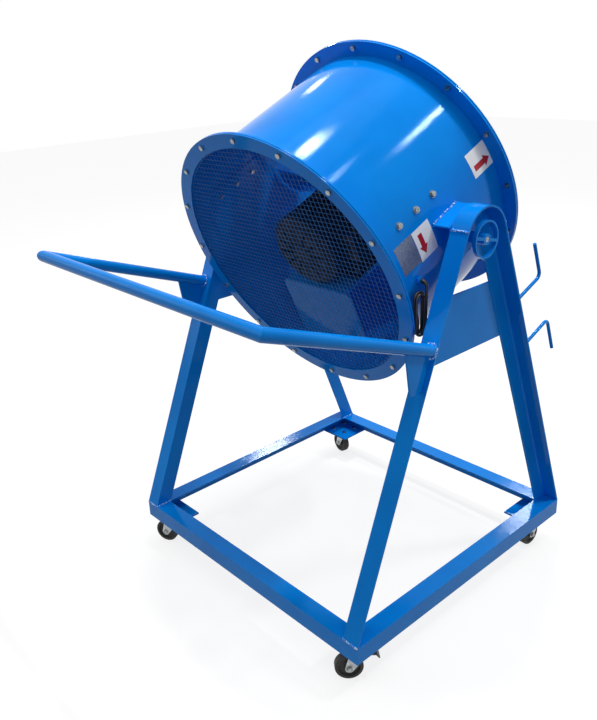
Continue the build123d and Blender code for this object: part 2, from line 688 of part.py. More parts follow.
GUARD_INNER = SHELL_RADIUS + GUARD_CLEARANCE
MESH_RADIUS = FLANGE_BOLT_CIRCLE / 2 - FLANGE_BOLT / 2 - MESH_CLEARANCE
write(ring_plate(INLET, FLANGE_THICKNESS, SHELL_RADIUS, FLANGE_RADIUS), "front_flange")
write(ring_plate(OUTLET - FLANGE_THICKNESS, FLANGE_THICKNESS, SHELL_RADIUS, FLANGE_RADIUS), "rear_flange")
write(mesh_disc(INLET - MESH_THICKNESS, MESH_RADIUS), "front_mesh")
write(mesh_disc(OUTLET, MESH_RADIUS), "rear_mesh")
FRONT_GUARD = INLET - MESH_THICKNESS - GUARD_THICKNESS
REAR_GUARD = OUTLET + MESH_THICKNESS
write(ring_plate(FRONT_GUARD, GUARD_THICKNESS, GUARD_INNER, FLANGE_RADIUS), "front_guard_ring")
write(ring_plate(REAR_GUARD, GUARD_THICKNESS, GUARD_INNER, FLANGE_RADIUS), "rear_guard_ring")

# Flange bolts: hex heads outside the guard rings, washers and nuts behind the flanges.
STACK = GUARD_THICKNESS + MESH_THICKNESS + FLANGE_THICKNESS
for name, face, outward in (
    ("front_flange_bolts", FRONT_GUARD, -1),
    ("rear_flange_bolts", REAR_GUARD + GUARD_THICKNESS, 1),
):
    with BuildPart() as bolts:
        with BuildSketch(across(face)):
            with PolarLocations(FLANGE_BOLT_CIRCLE / 2, FLANGE_BOLTS):
                Circle(FLANGE_BOLT / 2)
        extrude(amount=outward * STACK)
        with BuildSketch(across(face)):
            with PolarLocations(FLANGE_BOLT_CIRCLE / 2, FLANGE_BOLTS):
                RegularPolygon(FLANGE_BOLT * ACROSS_FLATS / 2, 6, major_radius=False)
        extrude(amount=-outward * FLANGE_BOLT * HEAD_HEIGHT)
        with BuildSketch(across(face - outward * STACK)):
            with PolarLocations(FLANGE_BOLT_CIRCLE / 2, FLANGE_BOLTS):
                RegularPolygon(FLANGE_BOLT * ACROSS_FLATS / 2, 6, major_radius=False)
        extrude(amount=outward * FLANGE_BOLT * NUT_HEIGHT)
    bolts.part.label = name
    export_step(bolts.part, f"parts/{name}.step")

# Trunnion bracket: a plate welded along the shell and bent down into the web that the drum hangs from.
PIVOT_NUT = PIVOT_BOLT * HEAD_HEIGHT
BRACKET_REACH = LEG_INNER_X - BRACKET_TO_LEG
WEB_X = BRACKET_REACH - BRACKET_PLATE
with BuildPart() as trunnion_bracket:
    with BuildSketch(beside(SHELL_RADIUS / 2)):
        with Locations((0, BRACKET_HEIGHT - BRACKET_PLATE / 2)):
            Rectangle(BRACKET_LENGTH, BRACKET_PLATE)
    extrude(amount=BRACKET_REACH - SHELL_RADIUS / 2)
    with BuildSketch(beside(WEB_X)):
        with BuildLine():
            Polyline(
                (-BRACKET_LENGTH / 2, BRACKET_HEIGHT),
                (BRACKET_LENGTH / 2, BRACKET_HEIGHT),
                (BRACKET_LENGTH / 2, 0),
                (BRACKET_DROP / 2, -BRACKET_DROP),
                (-BRACKET_DROP / 2, -BRACKET_DROP),
                (-BRACKET_LENGTH / 2, 0),
                close=True,
            )
        make_face()
        Circle(PIVOT_HOLE, mode=Mode.SUBTRACT)
    extrude(amount=BRACKET_PLATE)
    bend = trunnion_bracket.edges().filter_by(lambda edge: abs((edge % 0).dot(AXIS)) > 0.999)
    outer_corner = bend.sort_by_distance(at(BRACKET_REACH, BRACKET_HEIGHT, 0))[0]
    fillet(outer_corner, BRACKET_PLATE)
    with BuildSketch(across(-BRACKET_LENGTH)):
        Circle(SHELL_RADIUS)
    extrude(amount=-2 * BRACKET_LENGTH, mode=Mode.SUBTRACT)
write_both(trunnion_bracket.part, "trunnion_brackets")

# Pivot bolt with its spacer: through the bracket's web and the head plate.
RING_FACE = BASE_WIDTH / 2
with BuildPart() as pivot_bolt:
    with BuildSketch(beside(WEB_X - PIVOT_NUT)):
        RegularPolygon(PIVOT_BOLT * ACROSS_FLATS / 2, 6, major_radius=False)
    extrude(amount=PIVOT_NUT)
    with BuildSketch(beside(WEB_X)):
        Circle(PIVOT_BOLT / 2)
    extrude(amount=RING_FACE - WEB_X)
    with BuildSketch(beside(BRACKET_REACH)):
        Circle(SPACER_RADIUS)
    extrude(amount=LEG_INNER_X - BRACKET_REACH)
write_both(pivot_bolt.part, "pivot_bolts")

# Clamping ring: a hand ring with a cross bar on a nut that grips the head plate.
CLAMP_X = LEG_INNER_X + STAND_PLATE
with BuildPart() as clamping_ring:
    with BuildSketch(Plane(PIVOT + Vector(CLAMP_X, 0, 0), x_dir=(0, 1, 0), z_dir=(1, 0, 0))):
        Circle(CLAMP_NUT / 2)
    extrude(amount=RING_FACE - CLAMP_X)
    with BuildSketch(Plane(PIVOT + Vector(RING_FACE - RING_DEPTH, 0, 0), x_dir=(0, 1, 0), z_dir=(1, 0, 0))):
        Circle(RING_OUTER / 2)
        Circle(RING_OUTER / 2 - RING_WALL, mode=Mode.SUBTRACT)
        Rectangle(RING_OUTER - RING_WALL, RING_BAR, rotation=RING_BAR_ANGLE)
    extrude(amount=RING_DEPTH)
    with BuildSketch(Plane(PIVOT + Vector(CLAMP_X, 0, 0), x_dir=(0, 1, 0), z_dir=(1, 0, 0))):
        Circle(PIVOT_HOLE)
    extrude(amount=RING_FACE - CLAMP_X, mode=Mode.SUBTRACT)
write_pair(clamping_ring.part, "clamping_ring")

# ---------------------------------------------------------------- motor
MOTOR_REAR = MOTOR_LENGTH - MOTOR_FRONT
COWL_END = -MOTOR_FRONT + COWL_LENGTH
CORE_RADIUS = MOTOR_RADIUS - FIN_DEPTH
FIN_TIP = MOTOR_RADIUS - COWL_WALL
PAD_X = MOTOR_RADIUS + COWL_WALL
DRUM_AXIS = Axis(PIVOT, AXIS)


def foot_plane(rise):
    """The plane along the motor's feet, rise above their underside: local X is right."""
    return Plane(at(0, -SHAFT_HEIGHT + rise, FOOT_AXIAL), x_dir=(1, 0, 0), z_dir=UP)


# Motor body: finned frame with cast feet, a pad for the terminal box and a bored end shield.
with BuildPart() as motor_body:
    with BuildSketch(across(COWL_END - COWL_LAP)):
        Circle(CORE_RADIUS)
    extrude(amount=COWL_END - COWL_LAP - MOTOR_REAR + END_SHIELD)
    with BuildSketch(across(COWL_END)):
        with PolarLocations((CORE_RADIUS + FIN_TIP) / 2 - 1, FIN_COUNT):
            Rectangle(FIN_TIP - CORE_RADIUS + 2, FIN_THICKNESS)
    extrude(amount=COWL_END - MOTOR_REAR + END_SHIELD)
    with BuildSketch(across(MOTOR_REAR - END_SHIELD)):
        Circle(FIN_TIP)
    extrude(amount=-END_SHIELD, taper=30)
    with BuildSketch(beside(CORE_RADIUS / 2)):
        with Locations((TERMINAL_BOX_AXIAL, 0)):
            Rectangle(TERMINAL_BOX, TERMINAL_BOX)
    extrude(amount=PAD_X - CORE_RADIUS / 2)
    foot_edge = FOOT_SPACING / 2 + FOOT_THICKNESS
    with BuildSketch(across(FOOT_AXIAL - FOOT_LENGTH / 2)):
        for side in (-1, 1):
            with BuildLine():
                Polyline(
                    (side * foot_edge, -SHAFT_HEIGHT),
                    (side * foot_edge, -SHAFT_HEIGHT + FOOT_THICKNESS),
                    (side * (FOOT_SPACING / 2 - FOOT_BOLT), -SHAFT_HEIGHT + FOOT_THICKNESS),
                    (side * CORE_RADIUS * 0.8, -CORE_RADIUS * 0.5),
                    (side * CORE_RADIUS * 0.5, -CORE_RADIUS * 0.8),
                    (side * (FOOT_SPACING / 2 - 3 * FOOT_BOLT), -SHAFT_HEIGHT),
                    close=True,
                )
            make_face()
    extrude(amount=-FOOT_LENGTH)
    with BuildSketch(foot_plane(0)):
        with GridLocations(FOOT_SPACING, FOOT_BOLT_SPAN, 2, 2):
            Circle(FOOT_BOLT / 2 + BOLT_CLEARANCE)
    extrude(amount=FOOT_THICKNESS, mode=Mode.SUBTRACT)
    with BuildSketch(across(MOTOR_REAR)):
        Circle(SHAFT_RADIUS + RUNNING)
    extrude(amount=SHAFT_SEAT, mode=Mode.SUBTRACT)
motor_body.part.label = "motor_body"
export_step(motor_body.part, "parts/motor_body.step")

# Fan cowl: pressed steel cap over the motor's inlet end, with radial slots.
with BuildPart() as motor_cowl:
    with BuildSketch(beside(0)):
        with BuildLine():
            Polyline(
                (-MOTOR_FRONT, 0),
                (-MOTOR_FRONT, MOTOR_RADIUS - COWL_BEVEL),
                (-MOTOR_FRONT + COWL_BEVEL_LENGTH, MOTOR_RADIUS),
                (COWL_END, MOTOR_RADIUS),
                (COWL_END, MOTOR_RADIUS - COWL_WALL),
                (-MOTOR_FRONT + COWL_BEVEL_LENGTH + COWL_WALL / 2, MOTOR_RADIUS - COWL_WALL),
                (-MOTOR_FRONT + COWL_WALL, MOTOR_RADIUS - COWL_BEVEL - COWL_WALL / 2),
                (-MOTOR_FRONT + COWL_WALL, 0),
                close=True,
            )
        make_face()
    revolve(axis=DRUM_AXIS)
    with BuildSketch(across(-MOTOR_FRONT)):
        with PolarLocations(MOTOR_RADIUS / 2, COWL_SLOTS):
            SlotOverall(MOTOR_RADIUS / 2, MOTOR_RADIUS / 14)
    extrude(amount=-COWL_WALL, mode=Mode.SUBTRACT)
motor_cowl.part.label = "motor_cowl"
export_step(motor_cowl.part, "parts/motor_cowl.step")

# Terminal box with its lid, on the right of the motor.
with BuildPart() as terminal_box:
    with BuildSketch(beside(PAD_X)):
        with Locations((TERMINAL_BOX_AXIAL, 0)):
            body_width = TERMINAL_BOX - 2 * LID_OVERHANG
            RectangleRounded(body_width, body_width, TERMINAL_BOX_CORNER - LID_OVERHANG)
    extrude(amount=TERMINAL_BOX_DEPTH - TERMINAL_BOX_LID)
    with BuildSketch(beside(PAD_X + TERMINAL_BOX_DEPTH - TERMINAL_BOX_LID)):
        with Locations((TERMINAL_BOX_AXIAL, 0)):
            RectangleRounded(TERMINAL_BOX, TERMINAL_BOX, TERMINAL_BOX_CORNER)
    extrude(amount=TERMINAL_BOX_LID)
    chamfer(terminal_box.faces().sort_by(Axis.X)[-1].edges(), TERMINAL_BOX_LID / 3)
terminal_box.part.label = "terminal_box"
export_step(terminal_box.part, "parts/terminal_box.step")

# Cradle: a rolled lining plate bolted to the shell, two cross webs and the motor's seat.
LINING_RADIUS = BORE - CRADLE_PLATE
LINING_START = CRADLE_BOLT_ANGLES[1] - CRADLE_EDGE
LINING_ARC = 360 - (CRADLE_BOLT_ANGLES[1] - CRADLE_BOLT_ANGLES[0]) + 2 * CRADLE_EDGE
SEAT_WIDTH = CRADLE_WIDTH - 2 * CRADLE_CORNER
with BuildPart() as motor_cradle:
    with BuildSketch(across(-MOTOR_FRONT)):
        with BuildLine():
            outer = CenterArc((0, 0), BORE, LINING_START, LINING_ARC)
            inner = CenterArc((0, 0), LINING_RADIUS, LINING_START, LINING_ARC)
            Line(outer @ 0, inner @ 0)
            Line(outer @ 1, inner @ 1)
        make_face()
    extrude(amount=-CRADLE_LENGTH)
    for angle, axial in CRADLE_HOLES:
        with BuildSketch(through_shell(angle, axial, LINING_RADIUS - CRADLE_PLATE)):
            Circle(CRADLE_BOLT / 2 + BOLT_CLEARANCE)
        extrude(amount=3 * CRADLE_PLATE, mode=Mode.SUBTRACT)
    with BuildSketch(through_shell(GLAND_ANGLE, GLAND_AXIAL, LINING_RADIUS - CRADLE_PLATE)):
        Circle(GLAND_THREAD / 2 + BOLT_CLEARANCE)
    extrude(amount=3 * CRADLE_PLATE, mode=Mode.SUBTRACT)
    for axial in (-MOTOR_FRONT, -MOTOR_FRONT + CRADLE_LENGTH - CRADLE_WEB):
        with BuildSketch(across(axial)) as web:
            with Locations((0, -(SHAFT_HEIGHT + BORE) / 2)):
                Rectangle(CRADLE_WIDTH, BORE - SHAFT_HEIGHT)
            fillet(web.vertices().group_by(Axis.Y)[-1], CRADLE_CORNER)
            Circle(BORE - CRADLE_PLATE / 2, mode=Mode.INTERSECT)
        extrude(amount=-CRADLE_WEB)
    seat_middle = -MOTOR_FRONT + CRADLE_LENGTH / 2 - FOOT_AXIAL
    with BuildSketch(foot_plane(0)):
        with Locations((0, seat_middle)):
            Rectangle(SEAT_WIDTH, CRADLE_LENGTH)
        with GridLocations(FOOT_SPACING, FOOT_BOLT_SPAN, 2, 2):
            Circle(FOOT_BOLT / 2 + BOLT_CLEARANCE, mode=Mode.SUBTRACT)
    extrude(amount=-CRADLE_WEB)
motor_cradle.part.label = "motor_cradle"
export_step(motor_cradle.part, "parts/motor_cradle.step")

# Foot bolts, heads on the feet and nuts under the seat.
with BuildPart() as foot_bolts:
    for rise, radius, depth, sides in (
        (FOOT_THICKNESS, FOOT_BOLT * ACROSS_FLATS / 2, FOOT_BOLT * HEAD_HEIGHT, 6),
        (-CRADLE_WEB, FOOT_BOLT / 2, CRADLE_WEB + FOOT_THICKNESS, 0),
        (-CRADLE_WEB - FOOT_BOLT * NUT_HEIGHT, FOOT_BOLT * ACROSS_FLATS / 2, FOOT_BOLT * NUT_HEIGHT, 6),
    ):
        with BuildSketch(foot_plane(rise)):
            with GridLocations(FOOT_SPACING, FOOT_BOLT_SPAN, 2, 2):
                if sides:
                    RegularPolygon(radius, sides, major_radius=False)
                else:
                    Circle(radius)
        extrude(amount=depth)
foot_bolts.part.label = "foot_bolts"
export_step(foot_bolts.part, "parts/foot_bolts.step")

# Cradle bolts: washer and hex head on the shell, nut on the lining.
with BuildPart() as cradle_bolts:
    for angle, axial in CRADLE_HOLES:
        with BuildSketch(through_shell(angle, axial, SHELL_RADIUS)):
            Circle(CRADLE_WASHER / 2)
        extrude(amount=CRADLE_BOLT / 5)
        with BuildSketch(through_shell(angle, axial, SHELL_RADIUS + CRADLE_BOLT / 5)):
            RegularPolygon(CRADLE_BOLT * ACROSS_FLATS / 2, 6, major_radius=False)
        extrude(amount=CRADLE_BOLT * HEAD_HEIGHT)
        with BuildSketch(through_shell(angle, axial, LINING_RADIUS - SEAT_GAP)):
            Circle(CRADLE_BOLT / 2)
        extrude(amount=SHELL_RADIUS - LINING_RADIUS + SEAT_GAP)
        with BuildSketch(through_shell(angle, axial, LINING_RADIUS - SEAT_GAP)):
            RegularPolygon(CRADLE_BOLT * ACROSS_FLATS / 2, 6, major_radius=False)
        extrude(amount=-CRADLE_BOLT * NUT_HEIGHT)
cradle_bolts.part.label = "cradle_bolts"
export_step(cradle_bolts.part, "parts/cradle_bolts.step")

# ---------------------------------------------------------------- impeller
HUB_FRONT = MOTOR_REAR + HUB_GAP
HUB_REAR = HUB_FRONT + HUB_LENGTH
HUB_MIDDLE = (HUB_FRONT + HUB_REAR) / 2
with BuildPart() as motor_shaft:
    with BuildSketch(across(MOTOR_REAR - SHAFT_SEAT + TURNING_GAP)):
        Circle(SHAFT_RADIUS)
    extrude(amount=MOTOR_REAR - SHAFT_SEAT + TURNING_GAP - HUB_REAR)
motor_shaft.part.label = "motor_shaft"
export_step(motor_shaft.part, "parts/motor_shaft.step")

# Hub: bored boss, web disc and rim, turned in one piece.
with BuildPart() as impeller_hub:
    with BuildSketch(beside(0)):
        with BuildLine():
            Polyline(
                (HUB_FRONT, SHAFT_RADIUS + RUNNING),
                (HUB_FRONT, HUB_BOSS),
                (HUB_MIDDLE - HUB_WALL / 2, HUB_BOSS),
                (HUB_MIDDLE - HUB_WALL / 2, HUB_RADIUS - HUB_WALL),
                (HUB_FRONT, HUB_RADIUS - HUB_WALL),
                (HUB_FRONT, HUB_RADIUS),
                (HUB_REAR, HUB_RADIUS),
                (HUB_REAR, HUB_RADIUS - HUB_WALL),
                (HUB_MIDDLE + HUB_WALL / 2, HUB_RADIUS - HUB_WALL),
                (HUB_MIDDLE + HUB_WALL / 2, HUB_BOSS),
                (HUB_REAR, HUB_BOSS),
                (HUB_REAR, SHAFT_RADIUS + RUNNING),
                close=True,
            )
        make_face()
    revolve(axis=DRUM_AXIS)
impeller_hub.part.label = "impeller_hub"
export_step(impeller_hub.part, "parts/impeller_hub.step")

# End bolt and thick washer that hold the hub on the shaft.
with BuildPart() as hub_bolt:
    with BuildSketch(across(HUB_REAR)):
        Circle(HUB_BOSS - HUB_WALL)
    extrude(amount=-HUB_WALL / 2)
    with BuildSketch(across(HUB_REAR + HUB_WALL / 2)):
        RegularPolygon(PIVOT_BOLT * ACROSS_FLATS / 2, 6, major_radius=False)
    extrude(amount=-PIVOT_NUT)
hub_bolt.part.label = "hub_bolt"
export_step(hub_bolt.part, "parts/hub_bolt.step")

# Blades: cambered sheet twisted from root to tip, cut to the hub and to the tip circle.
TIP_RADIUS = BORE - TIP_CLEARANCE
with BuildPart() as blade:
    for share in (-0.05, 0.5, 1.05):
        radius = HUB_RADIUS + (TIP_RADIUS - HUB_RADIUS) * share
        chord = BLADE_CHORD_ROOT + (BLADE_CHORD_TIP - BLADE_CHORD_ROOT) * share
        pitch = radians(BLADE_ANGLE_ROOT + (BLADE_ANGLE_TIP - BLADE_ANGLE_ROOT) * share)
        span = Vector(sin(pitch), cos(pitch)) * (chord / 2)
        back = Vector(-cos(pitch), sin(pitch))
        bow = back * (BLADE_CAMBER * chord)
        skin = back * (BLADE_THICKNESS / 2)
        middle = Vector(HUB_MIDDLE, 0)
        with BuildSketch(beside(radius)):
            with BuildLine():
                suction = ThreePointArc(middle - span + skin, middle + bow + skin, middle + span + skin)
                pressure = ThreePointArc(middle - span - skin, middle + bow - skin, middle + span - skin)
                Line(suction @ 0, pressure @ 0)
                Line(suction @ 1, pressure @ 1)
            make_face()
    loft()
    with BuildSketch(across(HUB_MIDDLE)):
        Circle(TIP_RADIUS)
        Circle(HUB_RADIUS, mode=Mode.SUBTRACT)
    extrude(amount=BLADE_CHORD_ROOT, both=True, mode=Mode.INTERSECT)
with BuildPart() as impeller_blades:
    for number in range(BLADE_COUNT):
        add(blade.part.rotate(DRUM_AXIS, 360 / BLADE_COUNT * number))
impeller_blades.part.label = "impeller_blades"
export_step(impeller_blades.part, "parts/impeller_blades.step")

# ---------------------------------------------------------------- cable
GLAND_OUT = radial(GLAND_ANGLE)
GLAND_FACE = SHELL_RADIUS + GLAND_HEIGHT
GLAND_SEAT = LINING_RADIUS - SEAT_GAP
with BuildPart() as cord_gland:
    with BuildSketch(through_shell(GLAND_ANGLE, GLAND_AXIAL, SHELL_RADIUS)):
        RegularPolygon(GLAND_RADIUS, 6, major_radius=False)
    extrude(amount=GLAND_NUT)
    with BuildSketch(through_shell(GLAND_ANGLE, GLAND_AXIAL, SHELL_RADIUS + GLAND_NUT)):
        Circle(GLAND_RADIUS)
    extrude(amount=GLAND_HEIGHT - GLAND_NUT, taper=GLAND_TAPER)
    with BuildSketch(through_shell(GLAND_ANGLE, GLAND_AXIAL, GLAND_SEAT)):
        Circle(GLAND_THREAD / 2)
    extrude(amount=SHELL_RADIUS - GLAND_SEAT)
    with BuildSketch(through_shell(GLAND_ANGLE, GLAND_AXIAL, GLAND_SEAT)):
        RegularPolygon(GLAND_RADIUS, 6, major_radius=False)
    extrude(amount=-GLAND_NUT)
cord_gland.part.label = "cord_gland"
export_step(cord_gland.part, "parts/cord_gland.step")


def cable_tube(points, start_direction, name):
    """A round cable along straight runs joined by arcs as large as the runs allow."""
    radii = []
    for before, corner, after in zip(points, points[1:], points[2:]):
        into, away = corner - before, after - corner
        half_turn = radians(into.get_angle(away)) / 2
        radii.append(0.45 * min(into.length, away.length) / tan(half_turn))
    print(name, "bend radii:", [round(radius, 1) for radius in radii])
    with BuildPart() as tube:
        with BuildLine() as route:
            FilletPolyline(*points, radius=radii)
        with BuildSketch(Plane(points[0], z_dir=start_direction)):
            Circle(CABLE / 2)
        sweep(path=route.wires()[0])
    return tube.part


# Lead inside the drum, from the terminal box to the gland.
LEAD_START = at(PAD_X + TERMINAL_BOX_DEPTH, 0, TERMINAL_BOX_AXIAL)
LEAD_END = at(0, 0, GLAND_AXIAL) + GLAND_OUT * (GLAND_SEAT - GLAND_NUT)
lead_points = [
    LEAD_START,
    LEAD_START + Vector(34, 0, 0),
    at(PAD_X + TERMINAL_BOX_DEPTH + 78, -12, TERMINAL_BOX_AXIAL - 20),
    at(PAD_X + TERMINAL_BOX_DEPTH + 120, -26, TERMINAL_BOX_AXIAL - 54),
    LEAD_END - GLAND_OUT * 34,
    LEAD_END,
]
write(cable_tube(lead_points, Vector(1, 0, 0), "motor_lead"), "motor_lead")

# Free cable: out of the gland and down into the hank, which hangs upright beside the shell.
CABLE_PITCH = CABLE + CABLE_GAP
GLAND_EXIT = at(0, 0, GLAND_AXIAL) + GLAND_OUT * GLAND_FACE
CABLE_CORNER = GLAND_EXIT + GLAND_OUT * CABLE_OUT
HANK_X = CABLE_CORNER.X
HANK_Y = CABLE_CORNER.Y - HANK_OUTER_FOLD
HANK_TOP = PIVOT_HEIGHT - HANK_TOP_BELOW_PIVOT - HANK_OUTER_FOLD - CABLE / 2
HANK_BOTTOM = HANK_TOP - HANK_RUN
hank_start = Vector(HANK_X, CABLE_CORNER.Y, HANK_TOP)
write(cable_tube([GLAND_EXIT, CABLE_CORNER, hank_start], GLAND_OUT, "cord_stretch"), "cord_stretch")

# Hank: two layers of two loops, spiralling in, climbing a layer along one run and out again.
INNER_FOLD = HANK_OUTER_FOLD - CABLE_PITCH
RUN_OFFSETS = (
    HANK_OUTER_FOLD,
    -HANK_OUTER_FOLD,
    INNER_FOLD,
    -INNER_FOLD,
    INNER_FOLD,
    -HANK_OUTER_FOLD,
    HANK_OUTER_FOLD,
)
CLIMBING_RUN = 3
with BuildPart() as cord_hank:
    with BuildLine() as turns:
        for number, offset in enumerate(RUN_OFFSETS):
            going_down = number % 2 == 0
            first, last = (HANK_TOP, HANK_BOTTOM) if going_down else (HANK_BOTTOM, HANK_TOP)
            heading = Vector(0, 0, -1) if going_down else Vector(0, 0, 1)
            start_x = HANK_X - (CABLE_PITCH if number > CLIMBING_RUN else 0)
            end_x = HANK_X - (CABLE_PITCH if number >= CLIMBING_RUN else 0)
            start = Vector(start_x, HANK_Y + offset, first)
            end = Vector(end_x, HANK_Y + offset, last)
            if number == CLIMBING_RUN:
                halfway = (start + end) * 0.5
                TangentArc(start, halfway, tangent=heading)
                TangentArc(end, halfway, tangent=-heading)
            else:
                Line(start, end)
            if number + 1 < len(RUN_OFFSETS):
                onward = RUN_OFFSETS[number + 1]
                fold = abs(onward - offset) / 2
                crest = Vector(end_x, HANK_Y + (offset + onward) / 2, last) + heading * fold
                ThreePointArc(end, crest, Vector(end_x, HANK_Y + onward, last))
    with BuildSketch(Plane(hank_start, z_dir=(0, 0, -1))):
        Circle(CABLE / 2)
    sweep(path=turns.wires()[0])
cord_hank.part.label = "cord_hank"
export_step(cord_hank.part, "parts/cord_hank.step")

wire = turns.wires()[0]
steps = round(wire.length / 3)
samples = [wire @ (step / steps) for step in range(steps + 1)]
least_gap = min(
    (one - other).length
    for place, one in enumerate(samples)
    for other in samples[place + 10 :]
) - CABLE
print("cord_hank length:", round(wire.length), "least gap to itself:", round(least_gap, 2))
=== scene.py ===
from math import asin, atan2, cos, hypot, pi, radians, sin, sqrt

import bmesh
import bpy
from mathutils import Matrix, Vector


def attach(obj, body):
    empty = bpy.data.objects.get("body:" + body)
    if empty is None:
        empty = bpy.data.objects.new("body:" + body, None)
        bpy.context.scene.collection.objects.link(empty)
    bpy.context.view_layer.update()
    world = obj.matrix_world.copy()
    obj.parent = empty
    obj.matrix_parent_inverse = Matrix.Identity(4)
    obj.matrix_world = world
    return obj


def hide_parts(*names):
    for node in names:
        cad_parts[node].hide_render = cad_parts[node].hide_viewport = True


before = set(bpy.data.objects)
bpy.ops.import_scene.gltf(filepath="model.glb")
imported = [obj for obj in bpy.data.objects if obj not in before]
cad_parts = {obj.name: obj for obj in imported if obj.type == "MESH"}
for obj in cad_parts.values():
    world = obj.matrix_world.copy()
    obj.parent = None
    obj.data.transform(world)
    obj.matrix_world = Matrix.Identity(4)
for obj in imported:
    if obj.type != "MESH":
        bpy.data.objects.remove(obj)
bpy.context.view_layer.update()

# ---------------------------------------------------------------- camera
# The photograph was taken from the right of the push handle, a little above the drum.
# The lens, place and shift are those of a fit to the stand's square base and A-frames.
# It looks down by the dip and leans by the roll, both in degrees.
CAMERA_PLACE = (1.4796, -1.5535, 1.5343)
CAMERA_HEADING = 49.916
CAMERA_DIP = 20.336
CAMERA_ROLL = -2.982
camera_data = bpy.data.cameras.new("camera")
camera_data.lens = 38.545
camera_data.shift_x = 0.0443
camera_data.shift_y = -0.0402
camera = bpy.data.objects.new("camera", camera_data)
camera.matrix_world = (
    Matrix.Translation(CAMERA_PLACE)
    @ Matrix.Rotation(radians(CAMERA_HEADING), 4, "Z")
    @ Matrix.Rotation(radians(90 - CAMERA_DIP), 4, "X")
    @ Matrix.Rotation(radians(CAMERA_ROLL), 4, "Z")
)
bpy.context.scene.collection.objects.link(camera)
bpy.context.scene.camera = camera

# ---------------------------------------------------------------- cable
# A round three-core cable with a black PVC jacket. It leaves the gland, turns down and hangs
# beside the shell as a neat hank of two layers. Its bare end is inside the hank.
CABLE = 0.0068
CABLE_PITCH = 0.0074
OUTER_FOLD = 0.019
INNER_FOLD = OUTER_FOLD - CABLE_PITCH
# The hank hangs a little lower than its plain solid, as the photograph shows it.
HANK_SAG = 0.011
HANK_TOP = 0.9551 - HANK_SAG
HANK_BOTTOM = 0.8851 - HANK_SAG
# How far each run of the hank is from its middle, and which run climbs to the second layer.
RUNS = (OUTER_FOLD, -OUTER_FOLD, INNER_FOLD, -INNER_FOLD, INNER_FOLD, -OUTER_FOLD, OUTER_FOLD)
CLIMBING_RUN = 3
FOLD_STEPS = 6
# The spline runs inside its points, so those of a fold stand a little outside it.
FOLD_SPREAD = 1.03


def linear(hex_colour):
    """A colour as it is written on a screen, turned to the linear values that light uses."""
    channels = [int(hex_colour[digit : digit + 2], 16) / 255 for digit in (1, 3, 5)]
    return [c / 12.92 if c <= 0.04045 else ((c + 0.055) / 1.055) ** 2.4 for c in channels] + [1]


def add_node(material, kind, settings=None, values=None, links=None):
    """Adds a shader node with its settings, its sockets' values and the outputs linked to them."""
    node = material.node_tree.nodes.new(kind)
    for name, value in (settings or {}).items():
        setattr(node, name, value)
    for socket, value in (values or {}).items():
        node.inputs[socket].default_value = value
    for socket, output in (links or {}).items():
        material.node_tree.links.new(output, node.inputs[socket])
    return node


def new_material(name):
    """An empty node material with its output; its surface is linked later."""
    material = bpy.data.materials.new(name)
    material.use_nodes = True
    material.node_tree.nodes.clear()
    return material


def finish_material(material, shader):
    """Links the shader to the material's output."""
    add_node(material, "ShaderNodeOutputMaterial", links={"Surface": shader.outputs[0]})
    return material


# PVC jacket: extruded, so it is smooth with a soft gloss, and handling leaves it dusty in patches
# about 17 mm across.
pvc_jacket = new_material("black_pvc_jacket")
spot = add_node(pvc_jacket, "ShaderNodeTexCoord").outputs["Object"]
dust = add_node(
    pvc_jacket,
    "ShaderNodeTexNoise",
    values={"Scale": 60, "Detail": 4},
    links={"Vector": spot},
)
tone = add_node(pvc_jacket, "ShaderNodeValToRGB", links={"Fac": dust.outputs["Fac"]})
tone.color_ramp.elements[0].color = linear("#121213")
tone.color_ramp.elements[1].color = linear("#2B2B2C")
gloss = add_node(
    pvc_jacket,
    "ShaderNodeMapRange",
    values={"To Min": 0.28, "To Max": 0.45},
    links={"Value": dust.outputs["Fac"]},
)
finish_material(
    pvc_jacket,
    add_node(
        pvc_jacket,
        "ShaderNodeBsdfPrincipled",
        links={"Base Color": tone.outputs["Color"], "Roughness": gloss.outputs["Result"]},
    ),
)


def soft_line(name, points, radius, resolution):
    """A round black line along the points, as a spline that starts and ends on them."""
    curve = bpy.data.curves.new(name, "CURVE")
    curve.dimensions = "3D"
    curve.bevel_depth = radius
    curve.bevel_resolution = 5
    curve.resolution_u = resolution
    curve.use_fill_caps = True
    spline = curve.splines.new("NURBS")
    spline.points.add(len(points) - 1)
    for knot, point in zip(spline.points, points):
        knot.co = (*point, 1)
    spline.order_u = 3
    spline.use_endpoint_u = True
    curve.materials.append(pvc_jacket)
    line = bpy.data.objects.new(name, curve)
    bpy.context.scene.collection.objects.link(line)
    return line


